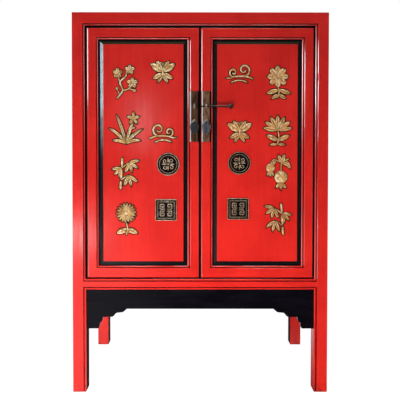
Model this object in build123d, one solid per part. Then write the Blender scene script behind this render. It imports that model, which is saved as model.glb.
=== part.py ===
from build123d import *
import math
import os

# A two-door cabinet on tall legs.  X runs to the right, Y to the back and Z up, in millimetres.
# The origin is on the floor, in the middle of the whole object, door furniture included.

# ---- case ---------------------------------------------------------------------------------
case_width = 1060.0
case_depth = 560.0
case_height = 1578.0
post_size = 55.0
leg_height = 430.0
top_rail_height = 57.0
bottom_rail_height = 45.0
bottom_rail_depth = 42.0
foot_chamfer = 2.0

# ---- edge moulding: a half-round bead beside a narrow groove --------------------------------
bead_width = 8.0
groove_width = 3.0

# ---- joints between the case members ---------------------------------------------------------
joint_clearance = 0.3
tenon_setback = 18.0
tenon_thickness = 12.0
tenon_spare = 1.0
tenon_shoulder = 12.0
shoulder_depth = 15.0
corner_tenon_edge = 8.0
corner_tenon_thickness = 12.0
corner_tenon_front = 16.0
corner_tenon_width = 14.0
corner_tenon_cover = 12.0

# ---- case panels ---------------------------------------------------------------------------
panel_tongue = 10.0
side_panel_thickness = 10.0
side_panel_setback = 14.0
back_panel_thickness = 10.0
back_panel_setback = 14.0
muntin_width = 50.0
muntin_thickness = 26.0
muntin_setback = 6.0
muntin_tenon = 12.0
top_panel_thickness = 12.0
top_panel_setback = 6.0
floor_panel_thickness = 14.0
floor_panel_setback = 6.0
shelf_thickness = 18.0
shelf_rises = [345.0, 695.0]
shelf_front_setback = 62.0
shelf_end_gap = 0.5
cleat_height = 25.0
cleat_thickness = 20.0

# ---- aprons ----------------------------------------------------------------------------------
apron_thickness = 18.0
apron_setback = 8.0
apron_tongue = 8.0
apron_drop = 82.7
ear_width = 48.7
bevel_run = 16.7
bevel_drop = 14.5
ledge_run = 19.7
ledge_drop = 1.7
ogee_run = 29.3
ogee_drop = 17.7
flat_run = 34.7
cusp_run = 2.1
cusp_drop = 12.6
toe_run = 10.5
toe_drop = 10.5
neck_run = 1.2
neck_drop = 11.4
heel_run = 5.9
heel_drop = 14.3
ogee_bulge = 0.14
toe_bulge = 0.2
heel_bulge = 0.12

# ---- doors -----------------------------------------------------------------------------------
door_side_gap = 4.0
door_meeting_gap = 4.0
door_end_gap = 5.0
door_setback = 2.0
door_thickness = 30.0
door_frame_width = 51.0
door_edge_radius = 4.0
mitre_depth = 9.0
door_tenon_length = 36.0
door_tenon_thickness = 8.0
door_tenon_cheek = 3.0
door_tenon_edge = 12.0
door_tongue = 10.0
door_tongue_front = 7.0
door_tongue_thickness = 8.0
panel_side_play = 0.6
field_depth = 2.5
field_margin = 18.0
margin_flat = 4.0
batten_width = 38.0
batten_undercut = 2.0
batten_letin = 3.0
batten_thickness = 8.0
batten_tenon = 12.0
batten_share = 0.25
pivot_radius = 7.0
pivot_clearance = 0.3
pivot_from_edge = 22.0
pivot_from_front = 14.0
top_pivot_engage = 15.0
top_pivot_spare = 3.0
bottom_pivot_engage = 12.0

# ---- door furniture --------------------------------------------------------------------------
plate_width = 38.0
plate_height = 208.0
plate_thickness = 2.0
plate_inset = 3.5
plate_drop = 366.0
plate_bevel_width = 5.0
plate_bevel_depth = 1.3
eye_ring_radius = 8.0
eye_wire_radius = 3.0
eye_rise = 41.3
eye_tail_length = 30.0
eye_tail_thickness = 2.0
boss_radius = 12.0
boss_height = 5.0
pull_ring_radius = 6.0
pull_wire_radius = 2.2
pull_drop = 25.0
pull_tail_length = 24.0
pull_tail_thickness = 1.6
pull_width = 36.0
pull_point = 30.0
pull_thickness = 3.0
pull_hole_clearance = 0.7
pull_rim = 4.5
pull_edge_chamfer = 0.5
ring_play = 0.3
bolt_play = 0.6
bolt_radius = 4.0
bolt_length = 134.0
bolt_rest_tip = 1.0
bolt_tip_length = 6.0
bolt_neck_length = 2.5
bolt_neck_radius = 3.0
knob_radius = 11.0
knob_length = 24.0
knob_neck_length = 5.0

# ---- relief and plaques ----------------------------------------------------------------------
# Insets are from the nearer upright edge of a door's raised field, drops from the field's top edge.
relief_thickness = 4.0
motif_share = 1 / 3
outer_first_drop = 156.0
outer_last_rise = 175.0
outer_least_pitch = 165.0
inner_drops = [117.0, 363.0]
left_outer_inset = 95.0
left_inner_inset = 84.0
right_outer_inset = 81.0
right_inner_inset = 92.0
plaque_thickness = 5.0
round_plaque_radius = 46.0
square_plaque_size = 87.0
left_round_inset = 62.0
left_round_drop = 495.0
right_round_inset = 91.0
right_round_drop = 490.0
left_square_inset = 71.0
left_square_drop = 685.0
right_square_inset = 86.0
right_square_drop = 680.0
plaque_rim_width = 2.6
plaque_line_width = 1.8
plaque_line_inset = 7.0
plaque_gilt_thickness = 1.2

# ---- places worked out from the sizes above ----------------------------------------------------
left = -case_width / 2
inner_left = left + post_size
bolt_reach = plate_thickness + eye_ring_radius + eye_wire_radius + knob_radius - door_setback
pull_reach = plate_thickness + boss_height + 2 * (pull_ring_radius + pull_wire_radius) - door_setback
furniture_reach = max(bolt_reach, pull_reach)
front = -(case_depth - furniture_reach) / 2
back = front + case_depth
rail_top = leg_height + bottom_rail_height
opening_top = case_height - top_rail_height
bead_radius = bead_width / 2
bead_total = bead_width + groove_width
tenon_length = post_size - tenon_setback - tenon_thickness - tenon_spare
door_left = inner_left + door_side_gap
door_right = -door_meeting_gap / 2
door_front = front + door_setback
door_low = rail_top + door_end_gap
door_high = opening_top - door_end_gap
panel_left = door_left + door_frame_width
panel_right = door_right - door_frame_width
panel_low = door_low + door_frame_width
panel_high = door_high - door_frame_width
field_front = door_front + field_depth
field_left = panel_left + field_margin
field_right = panel_right - field_margin
field_low = panel_low + field_margin
field_high = panel_high - field_margin
pivot_x = door_left + pivot_from_edge
pivot_y = door_front + pivot_from_front
plate_front = door_front - plate_thickness
plate_x = door_right - plate_inset - plate_width / 2
plate_center_height = door_high - plate_drop
eye_y = plate_front - eye_ring_radius - eye_wire_radius
eye_height = plate_center_height + eye_rise
bolt_height = eye_height - (eye_ring_radius - eye_wire_radius - bolt_radius - bolt_play)
pull_height = plate_center_height - pull_drop
pull_hole_height = pull_height - pull_ring_radius - (pull_hole_clearance - ring_play)
pull_ring_y = plate_front - boss_height - pull_ring_radius - pull_wire_radius
shelf_heights = [rail_top + rise for rise in shelf_rises]
motif_scale = (field_right - field_left) * motif_share / 110


def block(x_range, y_range, z_range, grow=0.0):
    """A box between pairs of coordinates, grown on every side when it is the pocket for a piece."""
    lows = [min(pair) - grow for pair in (x_range, y_range, z_range)]
    highs = [max(pair) + grow for pair in (x_range, y_range, z_range)]
    sizes = [high - low for low, high in zip(lows, highs)]
    centre = [(low + high) / 2 for low, high in zip(lows, highs)]
    return Pos(*centre) * Box(*sizes)


def prism(points, plane, low, high):
    """A straight-sided prism on an outline in a plane, from one height above the plane to another."""
    outline = make_face(Polyline(*points, close=True))
    return extrude(plane.offset(low) * outline, amount=high - low)


def mirrored(piece):
    """The same piece on the other side of the middle of the case."""
    return mirror(piece, about=Plane.YZ)


def moulding(reach=1.0):
    """What is cut away beside and round the bead: the edge of the wood is at the plane's origin."""
    waste = Pos((reach - bead_total) / 2, (bead_radius - reach) / 2)
    waste = waste * Rectangle(bead_total + reach, bead_radius + reach)
    return waste - Pos(-bead_radius, bead_radius) * Circle(bead_radius)


def moulding_cut(edge_point, across, inward, length):
    """The moulding's waste along an edge, to either side of a point on that edge."""
    along = Vector(*across).cross(Vector(*inward))
    plane = Plane(origin=edge_point, x_dir=across, z_dir=along)
    return extrude(plane * moulding(), amount=length / 2, both=True)


# ---- case members ------------------------------------------------------------------------------
def side_panel():
    """Left floating panel, its edges in the grooves of the posts and rails."""
    return block(
        (left + side_panel_setback, left + side_panel_setback + side_panel_thickness),
        (front + post_size - panel_tongue, back - post_size + panel_tongue),
        (rail_top - panel_tongue, opening_top + panel_tongue),
    )


def back_panel():
    """Left back panel, from the post to the muntin."""
    return block(
        (inner_left - panel_tongue, -muntin_width / 2 + panel_tongue),
        (back - back_panel_setback - back_panel_thickness, back - back_panel_setback),
        (rail_top - panel_tongue, opening_top + panel_tongue),
    )


def panel_pocket(panel):
    """The groove for a panel: its box with clearance on every side."""
    box = panel.bounding_box()
    return block(
        (box.min.X, box.max.X), (box.min.Y, box.max.Y), (box.min.Z, box.max.Z), joint_clearance
    )


def top_panel():
    """The panel that closes the top, in the grooves of the top rails."""
    reach_x = case_width / 2 - post_size + panel_tongue
    return block(
        (-reach_x, reach_x),
        (front + post_size - panel_tongue, back - post_size + panel_tongue),
        (case_height - top_panel_setback - top_panel_thickness, case_height - top_panel_setback),
    )


def post_boxes(grow):
    """The four posts as plain square bars, for notching what stands between them."""
    bars = []
    for x_low in (left, -left - post_size):
        for y_low in (front, back - post_size):
            bars.append(
                block((x_low, x_low + post_size), (y_low, y_low + post_size), (0, case_height), grow)
            )
    return bars


def floor_panel():
    """The floor of the cabinet, notched round the posts."""
    reach_x = case_width / 2 - bottom_rail_depth + panel_tongue
    board = block(
        (-reach_x, reach_x),
        (front + bottom_rail_depth - panel_tongue, back - bottom_rail_depth + panel_tongue),
        (rail_top - floor_panel_setback - floor_panel_thickness, rail_top - floor_panel_setback),
    )
    return board - post_boxes(joint_clearance)


def floor_pocket():
    """The groove for the floor, round the whole case."""
    reach_x = case_width / 2 - bottom_rail_depth + panel_tongue
    return block(
        (-reach_x, reach_x),
        (front + bottom_rail_depth - panel_tongue, back - bottom_rail_depth + panel_tongue),
        (rail_top - floor_panel_setback - floor_panel_thickness, rail_top - floor_panel_setback),
        joint_clearance,
    )


def corner_tenons(grow=0.0):
    """The two upright tenons of the front left post: one for the front rail, one for the side rail."""
    far = post_size - corner_tenon_edge
    near = far - corner_tenon_thickness
    side_far = corner_tenon_front + corner_tenon_width
    z_range = (opening_top, case_height - corner_tenon_cover)
    to_front_rail = block(
        (left + near, left + far), (front + corner_tenon_front, front + side_far), z_range, grow
    )
    to_side_rail = block(
        (left + corner_tenon_front, left + side_far), (front + near, front + far), z_range, grow
    )
    return to_front_rail, to_side_rail


def to_back(piece):
    """The same piece at the back corner, mirrored about the middle of the case's depth."""
    return mirror(piece, about=Plane.XZ.offset(-(front + back) / 2))


def rail_tenon(grow=0.0):
    """Tenon of a front or back bottom rail, in the front left post."""
    return block(
        (inner_left - tenon_length, inner_left),
        (front + tenon_setback, front + tenon_setback + tenon_thickness),
        (leg_height + tenon_shoulder, rail_top - tenon_shoulder),
        grow,
    )


def side_rail_tenon(grow=0.0):
    """Tenon of a side bottom rail, in the front left post."""
    return block(
        (left + tenon_setback, left + tenon_setback + tenon_thickness),
        (front + post_size - tenon_length, front + post_size),
        (leg_height + tenon_shoulder, rail_top - tenon_shoulder),
        grow,
    )


def shoulder_outline(edge, outward):
    """Pointed shoulder of a moulded rail, where its two beads mitre with the post's bead."""
    tip = edge + outward * bead_total
    return [
        (edge, leg_height),
        (tip, leg_height + bead_total),
        (tip, rail_top - bead_total),
        (edge, rail_top),
    ]


def front_shoulder():
    """Pointed shoulder of the front bottom rail on the front left post."""
    return prism(shoulder_outline(inner_left, -1), Plane.XZ, -(front + shoulder_depth), -front)


def side_shoulder():
    """Pointed shoulder of the left bottom rail on the front left post."""
    outline = shoulder_outline(front + post_size, -1)
    return prism(outline, Plane.YZ, left, left + shoulder_depth)


def corner_wedge_xz(keep_post):
    """Half of the top left corner, split by the mitre seen from the front."""
    corner = (left, case_height)
    inner = (inner_left, opening_top)
    third = (left, opening_top) if keep_post else (inner_left, case_height)
    return prism([corner, inner, third], Plane.XZ, -(back + 1), -(front - 1))


def corner_wedge_yz(keep_post):
    """Half of the top front corner, split by the mitre seen from the side."""
    corner = (front, case_height)
    inner = (front + post_size, opening_top)
    third = (front, opening_top) if keep_post else (front + post_size, case_height)
    return prism([corner, inner, third], Plane.YZ, left - 1, left + post_size + 1)


def corner_wedge_xy(keep_side):
    """Half of the front left corner, split by the mitre seen from above."""
    corner = (left, front)
    inner = (inner_left, front + post_size)
    third = (left, front + post_size) if keep_side else (inner_left, front)
    return prism([corner, inner, third], Plane.XY, opening_top - 1, case_height + 1)


def left_post(at_front):
    """A left post, mitred at the top and moulded on the faces that show, at the front or the back."""
    post = block((left, inner_left), (front, front + post_size), (0, case_height))
    post = chamfer(post.faces().sort_by(Axis.Z)[0].edges(), foot_chamfer)
    post -= corner_wedge_xz(False)
    post -= corner_wedge_yz(False)
    half_height = case_height / 2
    if at_front:
        edge = (inner_left, front, half_height)
        post -= moulding_cut(edge, (1, 0, 0), (0, 1, 0), case_height + 2)
    side_edge = (left, front + post_size, half_height)
    post -= moulding_cut(side_edge, (0, 1, 0), (1, 0, 0), case_height + 2)
    for tenon in corner_tenons():
        post += tenon
    post -= rail_tenon(joint_clearance)
    post -= side_rail_tenon(joint_clearance)
    post -= side_shoulder()
    post -= block(
        (left + apron_setback, left + apron_setback + apron_thickness),
        (front + post_size - apron_tongue, front + post_size),
        (leg_height - ear_drop(), leg_height),
        joint_clearance,
    )
    if at_front:
        post -= front_shoulder()
        post -= block(
            (inner_left - apron_tongue, inner_left),
            (front + apron_setback, front + apron_setback + apron_thickness),
            (leg_height - ear_drop(), leg_height),
            joint_clearance,
        )
    else:
        post = to_back(post)
        post -= panel_pocket(back_panel())
    return post - panel_pocket(side_panel())


def top_front_rail():
    """Front top rail, moulded on its lower edge, with the mortises and the sockets of the doors."""
    rail = block((left, -left), (front, front + post_size), (opening_top, case_height))
    rail -= moulding_cut((0, front, opening_top), (0, 0, -1), (0, 1, 0), case_width + 2)
    rail = end_mitres(rail)
    for mortise in (corner_tenons(joint_clearance)[0], pivot_socket(True)):
        rail -= mortise
        rail -= mirrored(mortise)
    return rail - panel_pocket(top_panel())


def end_mitres(rail):
    """Both mitred ends of a front or back top rail."""
    for waste in (corner_wedge_xz(True), corner_wedge_xy(True)):
        rail -= waste
        rail -= mirrored(waste)
    return rail


def top_back_rail():
    """Back top rail, plain, with the grooves for the top and back panels."""
    rail = block((left, -left), (front, front + post_size), (opening_top, case_height))
    rail = end_mitres(rail)
    mortise = corner_tenons(joint_clearance)[0]
    rail -= mortise
    rail -= mirrored(mortise)
    rail = to_back(rail) - panel_pocket(top_panel())
    rail -= panel_pocket(back_panel())
    rail -= mirrored(panel_pocket(back_panel()))
    return rail - muntin_tenons(joint_clearance)


def top_side_rail():
    """Left top rail, moulded on its lower edge."""
    rail = block((left, inner_left), (front, back), (opening_top, case_height))
    middle = (front + back) / 2
    rail -= moulding_cut((left, middle, opening_top), (0, 0, -1), (1, 0, 0), case_depth + 2)
    for waste in (corner_wedge_yz(True), corner_wedge_xy(False), corner_tenons(joint_clearance)[1]):
        rail -= waste
        rail -= to_back(waste)
    rail -= panel_pocket(top_panel())
    return rail - panel_pocket(side_panel())


def bottom_front_rail():
    """Front bottom rail, moulded on both edges, with pointed shoulders on the posts."""
    rail = block(
        (inner_left, -inner_left), (front, front + bottom_rail_depth), (leg_height, rail_top)
    )
    for end in (front_shoulder(), rail_tenon()):
        rail += end
        rail += mirrored(end)
    rail -= moulding_cut((0, front, rail_top), (0, 0, 1), (0, 1, 0), case_width)
    rail -= moulding_cut((0, front, leg_height), (0, 0, -1), (0, 1, 0), case_width)
    rail -= pivot_socket(False)
    rail -= mirrored(pivot_socket(False))
    rail -= floor_pocket()
    half_span = -inner_left
    return rail - block(
        (-half_span, half_span),
        (front + apron_setback, front + apron_setback + apron_thickness),
        (leg_height, leg_height + apron_tongue),
        joint_clearance,
    )


def bottom_back_rail():
    """Back bottom rail, plain, with the grooves for the floor and the back panels."""
    rail = block(
        (inner_left, -inner_left), (front, front + bottom_rail_depth), (leg_height, rail_top)
    )
    rail += rail_tenon()
    rail += mirrored(rail_tenon())
    rail = to_back(rail) - floor_pocket()
    rail -= panel_pocket(back_panel())
    rail -= mirrored(panel_pocket(back_panel()))
    return rail - muntin_tenons(joint_clearance)


def bottom_side_rail():
    """Left bottom rail, moulded on both edges."""
    rail = block(
        (left, left + bottom_rail_depth),
        (front + post_size, back - post_size),
        (leg_height, rail_top),
    )
    for end in (side_shoulder(), side_rail_tenon()):
        rail += end
        rail += to_back(end)
    middle = (front + back) / 2
    rail -= moulding_cut((left, middle, rail_top), (0, 0, 1), (1, 0, 0), case_depth)
    rail -= moulding_cut((left, middle, leg_height), (0, 0, -1), (1, 0, 0), case_depth)
    rail -= floor_pocket()
    rail -= panel_pocket(side_panel())
    return rail - block(
        (left + apron_setback, left + apron_setback + apron_thickness),
        (front + post_size, back - post_size),
        (leg_height, leg_height + apron_tongue),
        joint_clearance,
    )


def muntin_tenons(grow=0.0):
    """The two tenons of the back muntin, in the back rails."""
    half = muntin_width / 2 - panel_tongue - joint_clearance
    y_range = (back - muntin_setback - muntin_thickness, back - muntin_setback)
    upper = block((-half, half), y_range, (opening_top, opening_top + muntin_tenon), grow)
    lower = block((-half, half), y_range, (rail_top - muntin_tenon, rail_top), grow)
    return upper + lower


def back_muntin():
    """The upright between the two back panels."""
    half = muntin_width / 2
    y_range = (back - muntin_setback - muntin_thickness, back - muntin_setback)
    upright = block((-half, half), y_range, (rail_top, opening_top)) + muntin_tenons()
    upright -= panel_pocket(back_panel())
    return upright - mirrored(panel_pocket(back_panel()))


def shelf(height):
    """A shelf board on its cleats, notched round the posts."""
    reach_x = case_width / 2 - side_panel_setback - side_panel_thickness - shelf_end_gap
    board = block(
        (-reach_x, reach_x),
        (front + shelf_front_setback, back - back_panel_setback - back_panel_thickness - 1),
        (height, height + shelf_thickness),
    )
    board -= post_boxes(joint_clearance)
    half = muntin_width / 2
    y_range = (back - muntin_setback - muntin_thickness, back - muntin_setback)
    return board - block((-half, half), y_range, (rail_top, opening_top), joint_clearance)


def cleats():
    """The left cleats, one under each shelf, from post to post against the side panel."""
    inner_face = left + side_panel_setback + side_panel_thickness
    return [
        block(
            (inner_face, inner_face + cleat_thickness),
            (front + post_size, back - post_size),
            (height - cleat_height, height),
        )
        for height in shelf_heights
    ]


# ---- aprons ------------------------------------------------------------------------------------
def ear_drop():
    """How far the apron's ears hang below the rail."""
    steps = bevel_drop + ledge_drop + ogee_drop + cusp_drop + toe_drop + neck_drop + heel_drop
    return apron_drop + steps


def apron_outline(half_span):
    """The apron's face: straight in the middle, then stepped and cusped down to an ear at each post."""
    moves = [
        (bevel_run, bevel_drop, 0.0),
        (ledge_run, ledge_drop, 0.0),
        (ogee_run / 2, ogee_drop / 2, -ogee_bulge),
        (ogee_run / 2, ogee_drop / 2, ogee_bulge),
        (flat_run, 0.0, 0.0),
        (cusp_run, cusp_drop, 0.0),
        (toe_run, toe_drop, toe_bulge),
        (neck_run, neck_drop, 0.0),
        (heel_run, heel_drop, heel_bulge),
    ]
    run = sum(move[0] for move in moves)
    x, z = half_span - ear_width - run, -apron_drop
    edges = [Line((0, z), (x, z))]
    for step, drop, bulge in moves:
        end = (x + step, z - drop)
        if bulge:
            middle = ((x + end[0]) / 2 - bulge * drop, (z + end[1]) / 2 - bulge * step)
            edges.append(ThreePointArc((x, z), middle, end))
        else:
            edges.append(Line((x, z), end))
        x, z = end
    outer = half_span + apron_tongue
    corners = [(x, z), (outer, z), (outer, 0), (half_span, 0), (half_span, apron_tongue)]
    edges.append(Polyline(*corners, (0, apron_tongue), (0, -apron_drop)))
    half = make_face(edges)
    return half + mirror(half, about=Plane.YZ)


def front_apron():
    """The black apron under the front rail."""
    face = Plane(
        origin=(0, front + apron_setback, leg_height), x_dir=(1, 0, 0), z_dir=(0, -1, 0)
    ) * apron_outline(-inner_left)
    return extrude(face, amount=-apron_thickness)


def side_apron():
    """The apron under the left rail."""
    middle = (front + back) / 2
    face = Plane(
        origin=(left + apron_setback, middle, leg_height), x_dir=(0, 1, 0), z_dir=(1, 0, 0)
    ) * apron_outline(case_depth / 2 - post_size)
    return extrude(face, amount=apron_thickness)


# ---- doors -------------------------------------------------------------------------------------
def pivot_socket(at_top):
    """The left door's socket in the top or the bottom rail."""
    radius = pivot_radius + pivot_clearance
    depth = top_pivot_engage + top_pivot_spare if at_top else bottom_pivot_engage
    low = opening_top if at_top else rail_top - depth
    return Pos(pivot_x, pivot_y, low + depth / 2) * Cylinder(radius, depth)


def frame_member(length, is_stile):
    """A door frame member along local Z: outer edge at local X 0, face at local Y 0.

    The face is mitred at both ends.  Behind the mitre the stiles run through and the rails stop.
    """
    profile = Pos(door_frame_width / 2, door_thickness / 2)
    profile = profile * Rectangle(door_frame_width, door_thickness)
    outer = profile.vertices().sort_by(Axis.X)[:2].sort_by(Axis.Y)[0]
    profile = fillet(outer, door_edge_radius)
    profile -= Pos(door_frame_width, 0) * moulding()
    member = extrude(profile, amount=length)
    wide = door_frame_width
    for start, inward in ((0, 1), (length, -1)):
        waste = [(-1, start - inward), (wide + 1, start - inward), (wide + 1, start + inward * (wide + 1))]
        member -= prism(waste, Plane.XZ, -mitre_depth, 1)
        if not is_stile:
            member -= block(
                (-1, wide + 1), (mitre_depth, door_thickness + 1), (start - inward, start + inward * wide)
            )
    return member


def door_tenons(grow=0.0):
    """The four tenons of the left door's rails, in its stiles: top pair first."""
    y_low = door_front + mitre_depth + door_tenon_cheek
    y_range = (y_low, y_low + door_tenon_thickness)
    pairs = []
    for z_outer, inward in ((door_high, -1), (door_low, 1)):
        z_near = z_outer + inward * door_tenon_edge
        z_far = z_outer + inward * (door_frame_width - door_tongue - 2)
        pairs.append(
            block((panel_left - door_tenon_length, panel_left), y_range, (z_near, z_far), grow)
            + block((panel_right, panel_right + door_tenon_length), y_range, (z_near, z_far), grow)
        )
    return pairs


def door_panel_pocket():
    """The groove for the door's panel in its frame."""
    reach = door_tongue + panel_side_play
    return block(
        (panel_left - reach, panel_right + reach),
        (door_front + door_tongue_front, door_front + door_tongue_front + door_tongue_thickness),
        (panel_low - reach, panel_high + reach),
    )


def batten_heights():
    """The middle heights of the two battens."""
    share = batten_share * (panel_high - panel_low)
    return [panel_low + share, panel_high - share]


def batten_body(height, grow=0.0):
    """A batten let into the panel's back by a dovetail, its ends in the stiles."""
    panel_back = door_front + door_tongue_front + door_tongue_thickness - joint_clearance
    half = batten_width / 2 + grow
    narrow = half - batten_undercut
    y_front = panel_back - batten_letin - grow
    y_back = panel_back + batten_thickness + grow
    outline = [
        (y_front, height - half),
        (panel_back, height - narrow),
        (y_back, height - narrow),
        (y_back, height + narrow),
        (panel_back, height + narrow),
        (y_front, height + half),
    ]
    return prism(outline, Plane.YZ, panel_left - batten_tenon - grow, panel_right + batten_tenon + grow)


def furniture_holes():
    """The holes through the meeting stile for the shanks of the bolt eye and the pull ring."""
    holes = []
    for height, radius in ((eye_height, eye_wire_radius), (pull_height, pull_wire_radius)):
        hole = Cylinder(radius + joint_clearance, door_thickness + 4 * plate_thickness + 2 * boss_height)
        holes.append(Pos(plate_x, door_front + door_thickness / 2, height) * Rot(90, 0, 0) * hole)
    return holes


def hinge_stile():
    """Outer stile of the left door, with the round pivots that turn in the rails."""
    plane = Plane(origin=(door_left, door_front, door_low), x_dir=(1, 0, 0), z_dir=(0, 0, 1))
    stile = plane.location * frame_member(door_high - door_low, True)
    top_length = door_end_gap + top_pivot_engage
    bottom_length = door_end_gap + bottom_pivot_engage - pivot_clearance
    stile += Pos(pivot_x, pivot_y, door_high + top_length / 2) * Cylinder(pivot_radius, top_length)
    stile += Pos(pivot_x, pivot_y, door_low - bottom_length / 2) * Cylinder(pivot_radius, bottom_length)
    return cut_for_fittings(stile)


def meeting_stile():
    """Inner stile of the left door, where the two doors meet."""
    plane = Plane(origin=(door_right, door_front, door_high), x_dir=(-1, 0, 0), z_dir=(0, 0, -1))
    stile = cut_for_fittings(plane.location * frame_member(door_high - door_low, True))
    for hole in furniture_holes():
        stile -= hole
    return stile


def cut_for_fittings(stile):
    """A stile with the mortises for rails and battens and the groove for the panel."""
    for pair in door_tenons(joint_clearance):
        stile -= pair
    for height in batten_heights():
        stile -= batten_body(height, joint_clearance)
    return stile - door_panel_pocket()


def door_rail(at_top):
    """Top or bottom rail of the left door."""
    if at_top:
        plane = Plane(origin=(door_left, door_front, door_high), x_dir=(0, 0, -1), z_dir=(1, 0, 0))
    else:
        plane = Plane(origin=(door_right, door_front, door_low), x_dir=(0, 0, 1), z_dir=(-1, 0, 0))
    rail = plane.location * frame_member(door_right - door_left, False)
    rail += door_tenons()[0 if at_top else 1]
    return rail - door_panel_pocket()


def door_panel():
    """One board with a raised field, its sloping margin running down to the frame."""
    tongue_front = door_front + door_tongue_front + joint_clearance
    tongue_back = door_front + door_tongue_front + door_tongue_thickness - joint_clearance
    board = block(
        (panel_left - door_tongue, panel_right + door_tongue),
        (tongue_front, tongue_back),
        (panel_low - door_tongue, panel_high + door_tongue),
    )
    centre_x = (panel_left + panel_right) / 2
    centre_z = (panel_low + panel_high) / 2
    sections = []
    for y, inset in ((tongue_front, margin_flat), (field_front, field_margin)):
        plane = Plane(origin=(centre_x, y, centre_z), x_dir=(1, 0, 0), z_dir=(0, -1, 0))
        wide = panel_right - panel_left - 2 * inset
        high = panel_high - panel_low - 2 * inset
        sections.append(plane * Rectangle(wide, high))
    board += loft(sections)
    for height in batten_heights():
        board -= batten_body(height, joint_clearance / 2)
    return board


# ---- door furniture ------------------------------------------------------------------------------
def lock_plate():
    """Metal plate on the left door's meeting stile, bevelled on its long edges, drilled for the shanks."""
    half = plate_width / 2
    flat = half - plate_bevel_width
    outline = [
        (plate_x - half, door_front),
        (plate_x - half, plate_front + plate_bevel_depth),
        (plate_x - flat, plate_front),
        (plate_x + flat, plate_front),
        (plate_x + half, plate_front + plate_bevel_depth),
        (plate_x + half, door_front),
    ]
    low = plate_center_height - plate_height / 2
    plate = prism(outline, Plane.XY, low, low + plate_height)
    for hole in furniture_holes():
        plate -= hole
    return plate


def cotter(ring_radius, wire_radius, ring_y, height, tail_length, tail_thickness):
    """A wire ring on a shank through the stile, with its tails bent flat at the back."""
    ring = Pos(plate_x, ring_y, height) * Rot(0, 90, 0) * Torus(ring_radius, wire_radius)
    shank_start = ring_y + ring_radius
    stile_back = door_front + door_thickness
    shank_length = stile_back + tail_thickness - shank_start
    shank = Pos(plate_x, shank_start + shank_length / 2, height) * Rot(90, 0, 0)
    shank = shank * Cylinder(wire_radius, shank_length)
    tails = block(
        (plate_x - wire_radius, plate_x + wire_radius),
        (stile_back, stile_back + tail_thickness),
        (height - tail_length / 2, height + tail_length / 2),
    )
    return ring + shank + tails


def bolt_eye():
    """The left door's eye, which the bolt slides through."""
    return cotter(
        eye_ring_radius, eye_wire_radius, eye_y, eye_height, eye_tail_length, eye_tail_thickness
    )


def pull_ring():
    """The cotter that the left pull hangs from."""
    return cotter(
        pull_ring_radius,
        pull_wire_radius,
        pull_ring_y,
        pull_height,
        pull_tail_length,
        pull_tail_thickness,
    )


def pull_boss():
    """Domed washer between the plate and the pull ring."""
    dome_radius = (boss_radius**2 + boss_height**2) / (2 * boss_height)
    dome = Pos(plate_x, plate_front + dome_radius - boss_height, pull_height) * Sphere(dome_radius)
    reach = 2 * dome_radius
    keep = block(
        (plate_x - reach, plate_x + reach),
        (plate_front - boss_height, plate_front),
        (pull_height - reach, pull_height + reach),
    )
    return (dome & keep) - furniture_holes()[1]


def pull():
    """Leaf-shaped pendant of the left door, hanging on its ring."""
    hole_radius = pull_wire_radius + pull_hole_clearance
    half = pull_width / 2
    widest = pull_hole_height + hole_radius + pull_rim - half
    lower = Ellipse(half, pull_point) & Pos(0, -pull_point / 2) * Rectangle(pull_width, pull_point)
    outline = Circle(half) + lower
    plane = Plane(
        origin=(plate_x, pull_ring_y + pull_thickness / 2, widest), x_dir=(1, 0, 0), z_dir=(0, -1, 0)
    )
    leaf = extrude(plane * outline, amount=pull_thickness)
    rims = leaf.faces().sort_by(Axis.Y)
    leaf = chamfer(rims[0].edges() + rims[-1].edges(), pull_edge_chamfer)
    hole = Cylinder(hole_radius, 2 * pull_thickness)
    return leaf - Pos(plate_x, pull_ring_y, pull_hole_height) * Rot(90, 0, 0) * hole


def bolt():
    """The sliding bolt, drawn back to the right so that both doors are free."""
    neck_start = bolt_rest_tip + bolt_tip_length
    neck_end = neck_start + bolt_neck_length
    shaft_end = bolt_rest_tip + bolt_length - knob_length
    collar_end = shaft_end + knob_neck_length
    knob_end = shaft_end + knob_length
    waist = 0.65 * knob_radius
    ridge = (collar_end + knob_end) / 2
    tip_bend = (bolt_radius * 0.8, bolt_rest_tip + bolt_radius * 0.4)
    outline = [
        ThreePointArc((0, bolt_rest_tip), tip_bend, (bolt_radius, bolt_rest_tip + bolt_radius)),
        Polyline(
            (bolt_radius, bolt_rest_tip + bolt_radius),
            (bolt_radius, neck_start),
            (bolt_neck_radius, neck_start),
            (bolt_neck_radius, neck_end),
            (bolt_radius, neck_end),
            (bolt_radius, shaft_end),
            (waist, shaft_end),
            (waist, collar_end),
        ),
        ThreePointArc((waist, collar_end), (knob_radius, ridge), (waist, knob_end)),
        Polyline((waist, knob_end), (0, knob_end), (0, bolt_rest_tip)),
    ]
    turned = revolve(Plane.XZ * make_face(outline), axis=Axis.Z)
    return Pos(0, eye_y, bolt_height) * Rot(0, 90, 0) * turned


# ---- relief --------------------------------------------------------------------------------------
# Motifs are drawn on a sheet 110 wide, about their middle, and scaled to the field.
def leaf(x, y, angle, length, width, bend=0.0):
    """A pointed leaf from its base, starting along an angle and turning evenly by a bend, in degrees."""
    half_turn = math.radians(bend) / 2
    radius = length / (2 * half_turn) if bend else 0.0
    chord = 2 * radius * math.sin(half_turn) if bend else length
    sag = radius * (math.cos(half_turn) - 1)
    tip = (chord, 0)
    upper = (chord / 2, sag + width / 2)
    lower = (chord / 2, sag - width / 2)
    outline = make_face([ThreePointArc((0, 0), upper, tip), ThreePointArc(tip, lower, (0, 0))])
    return Pos(x, y) * Rot(0, 0, angle + bend / 2) * outline


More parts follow.
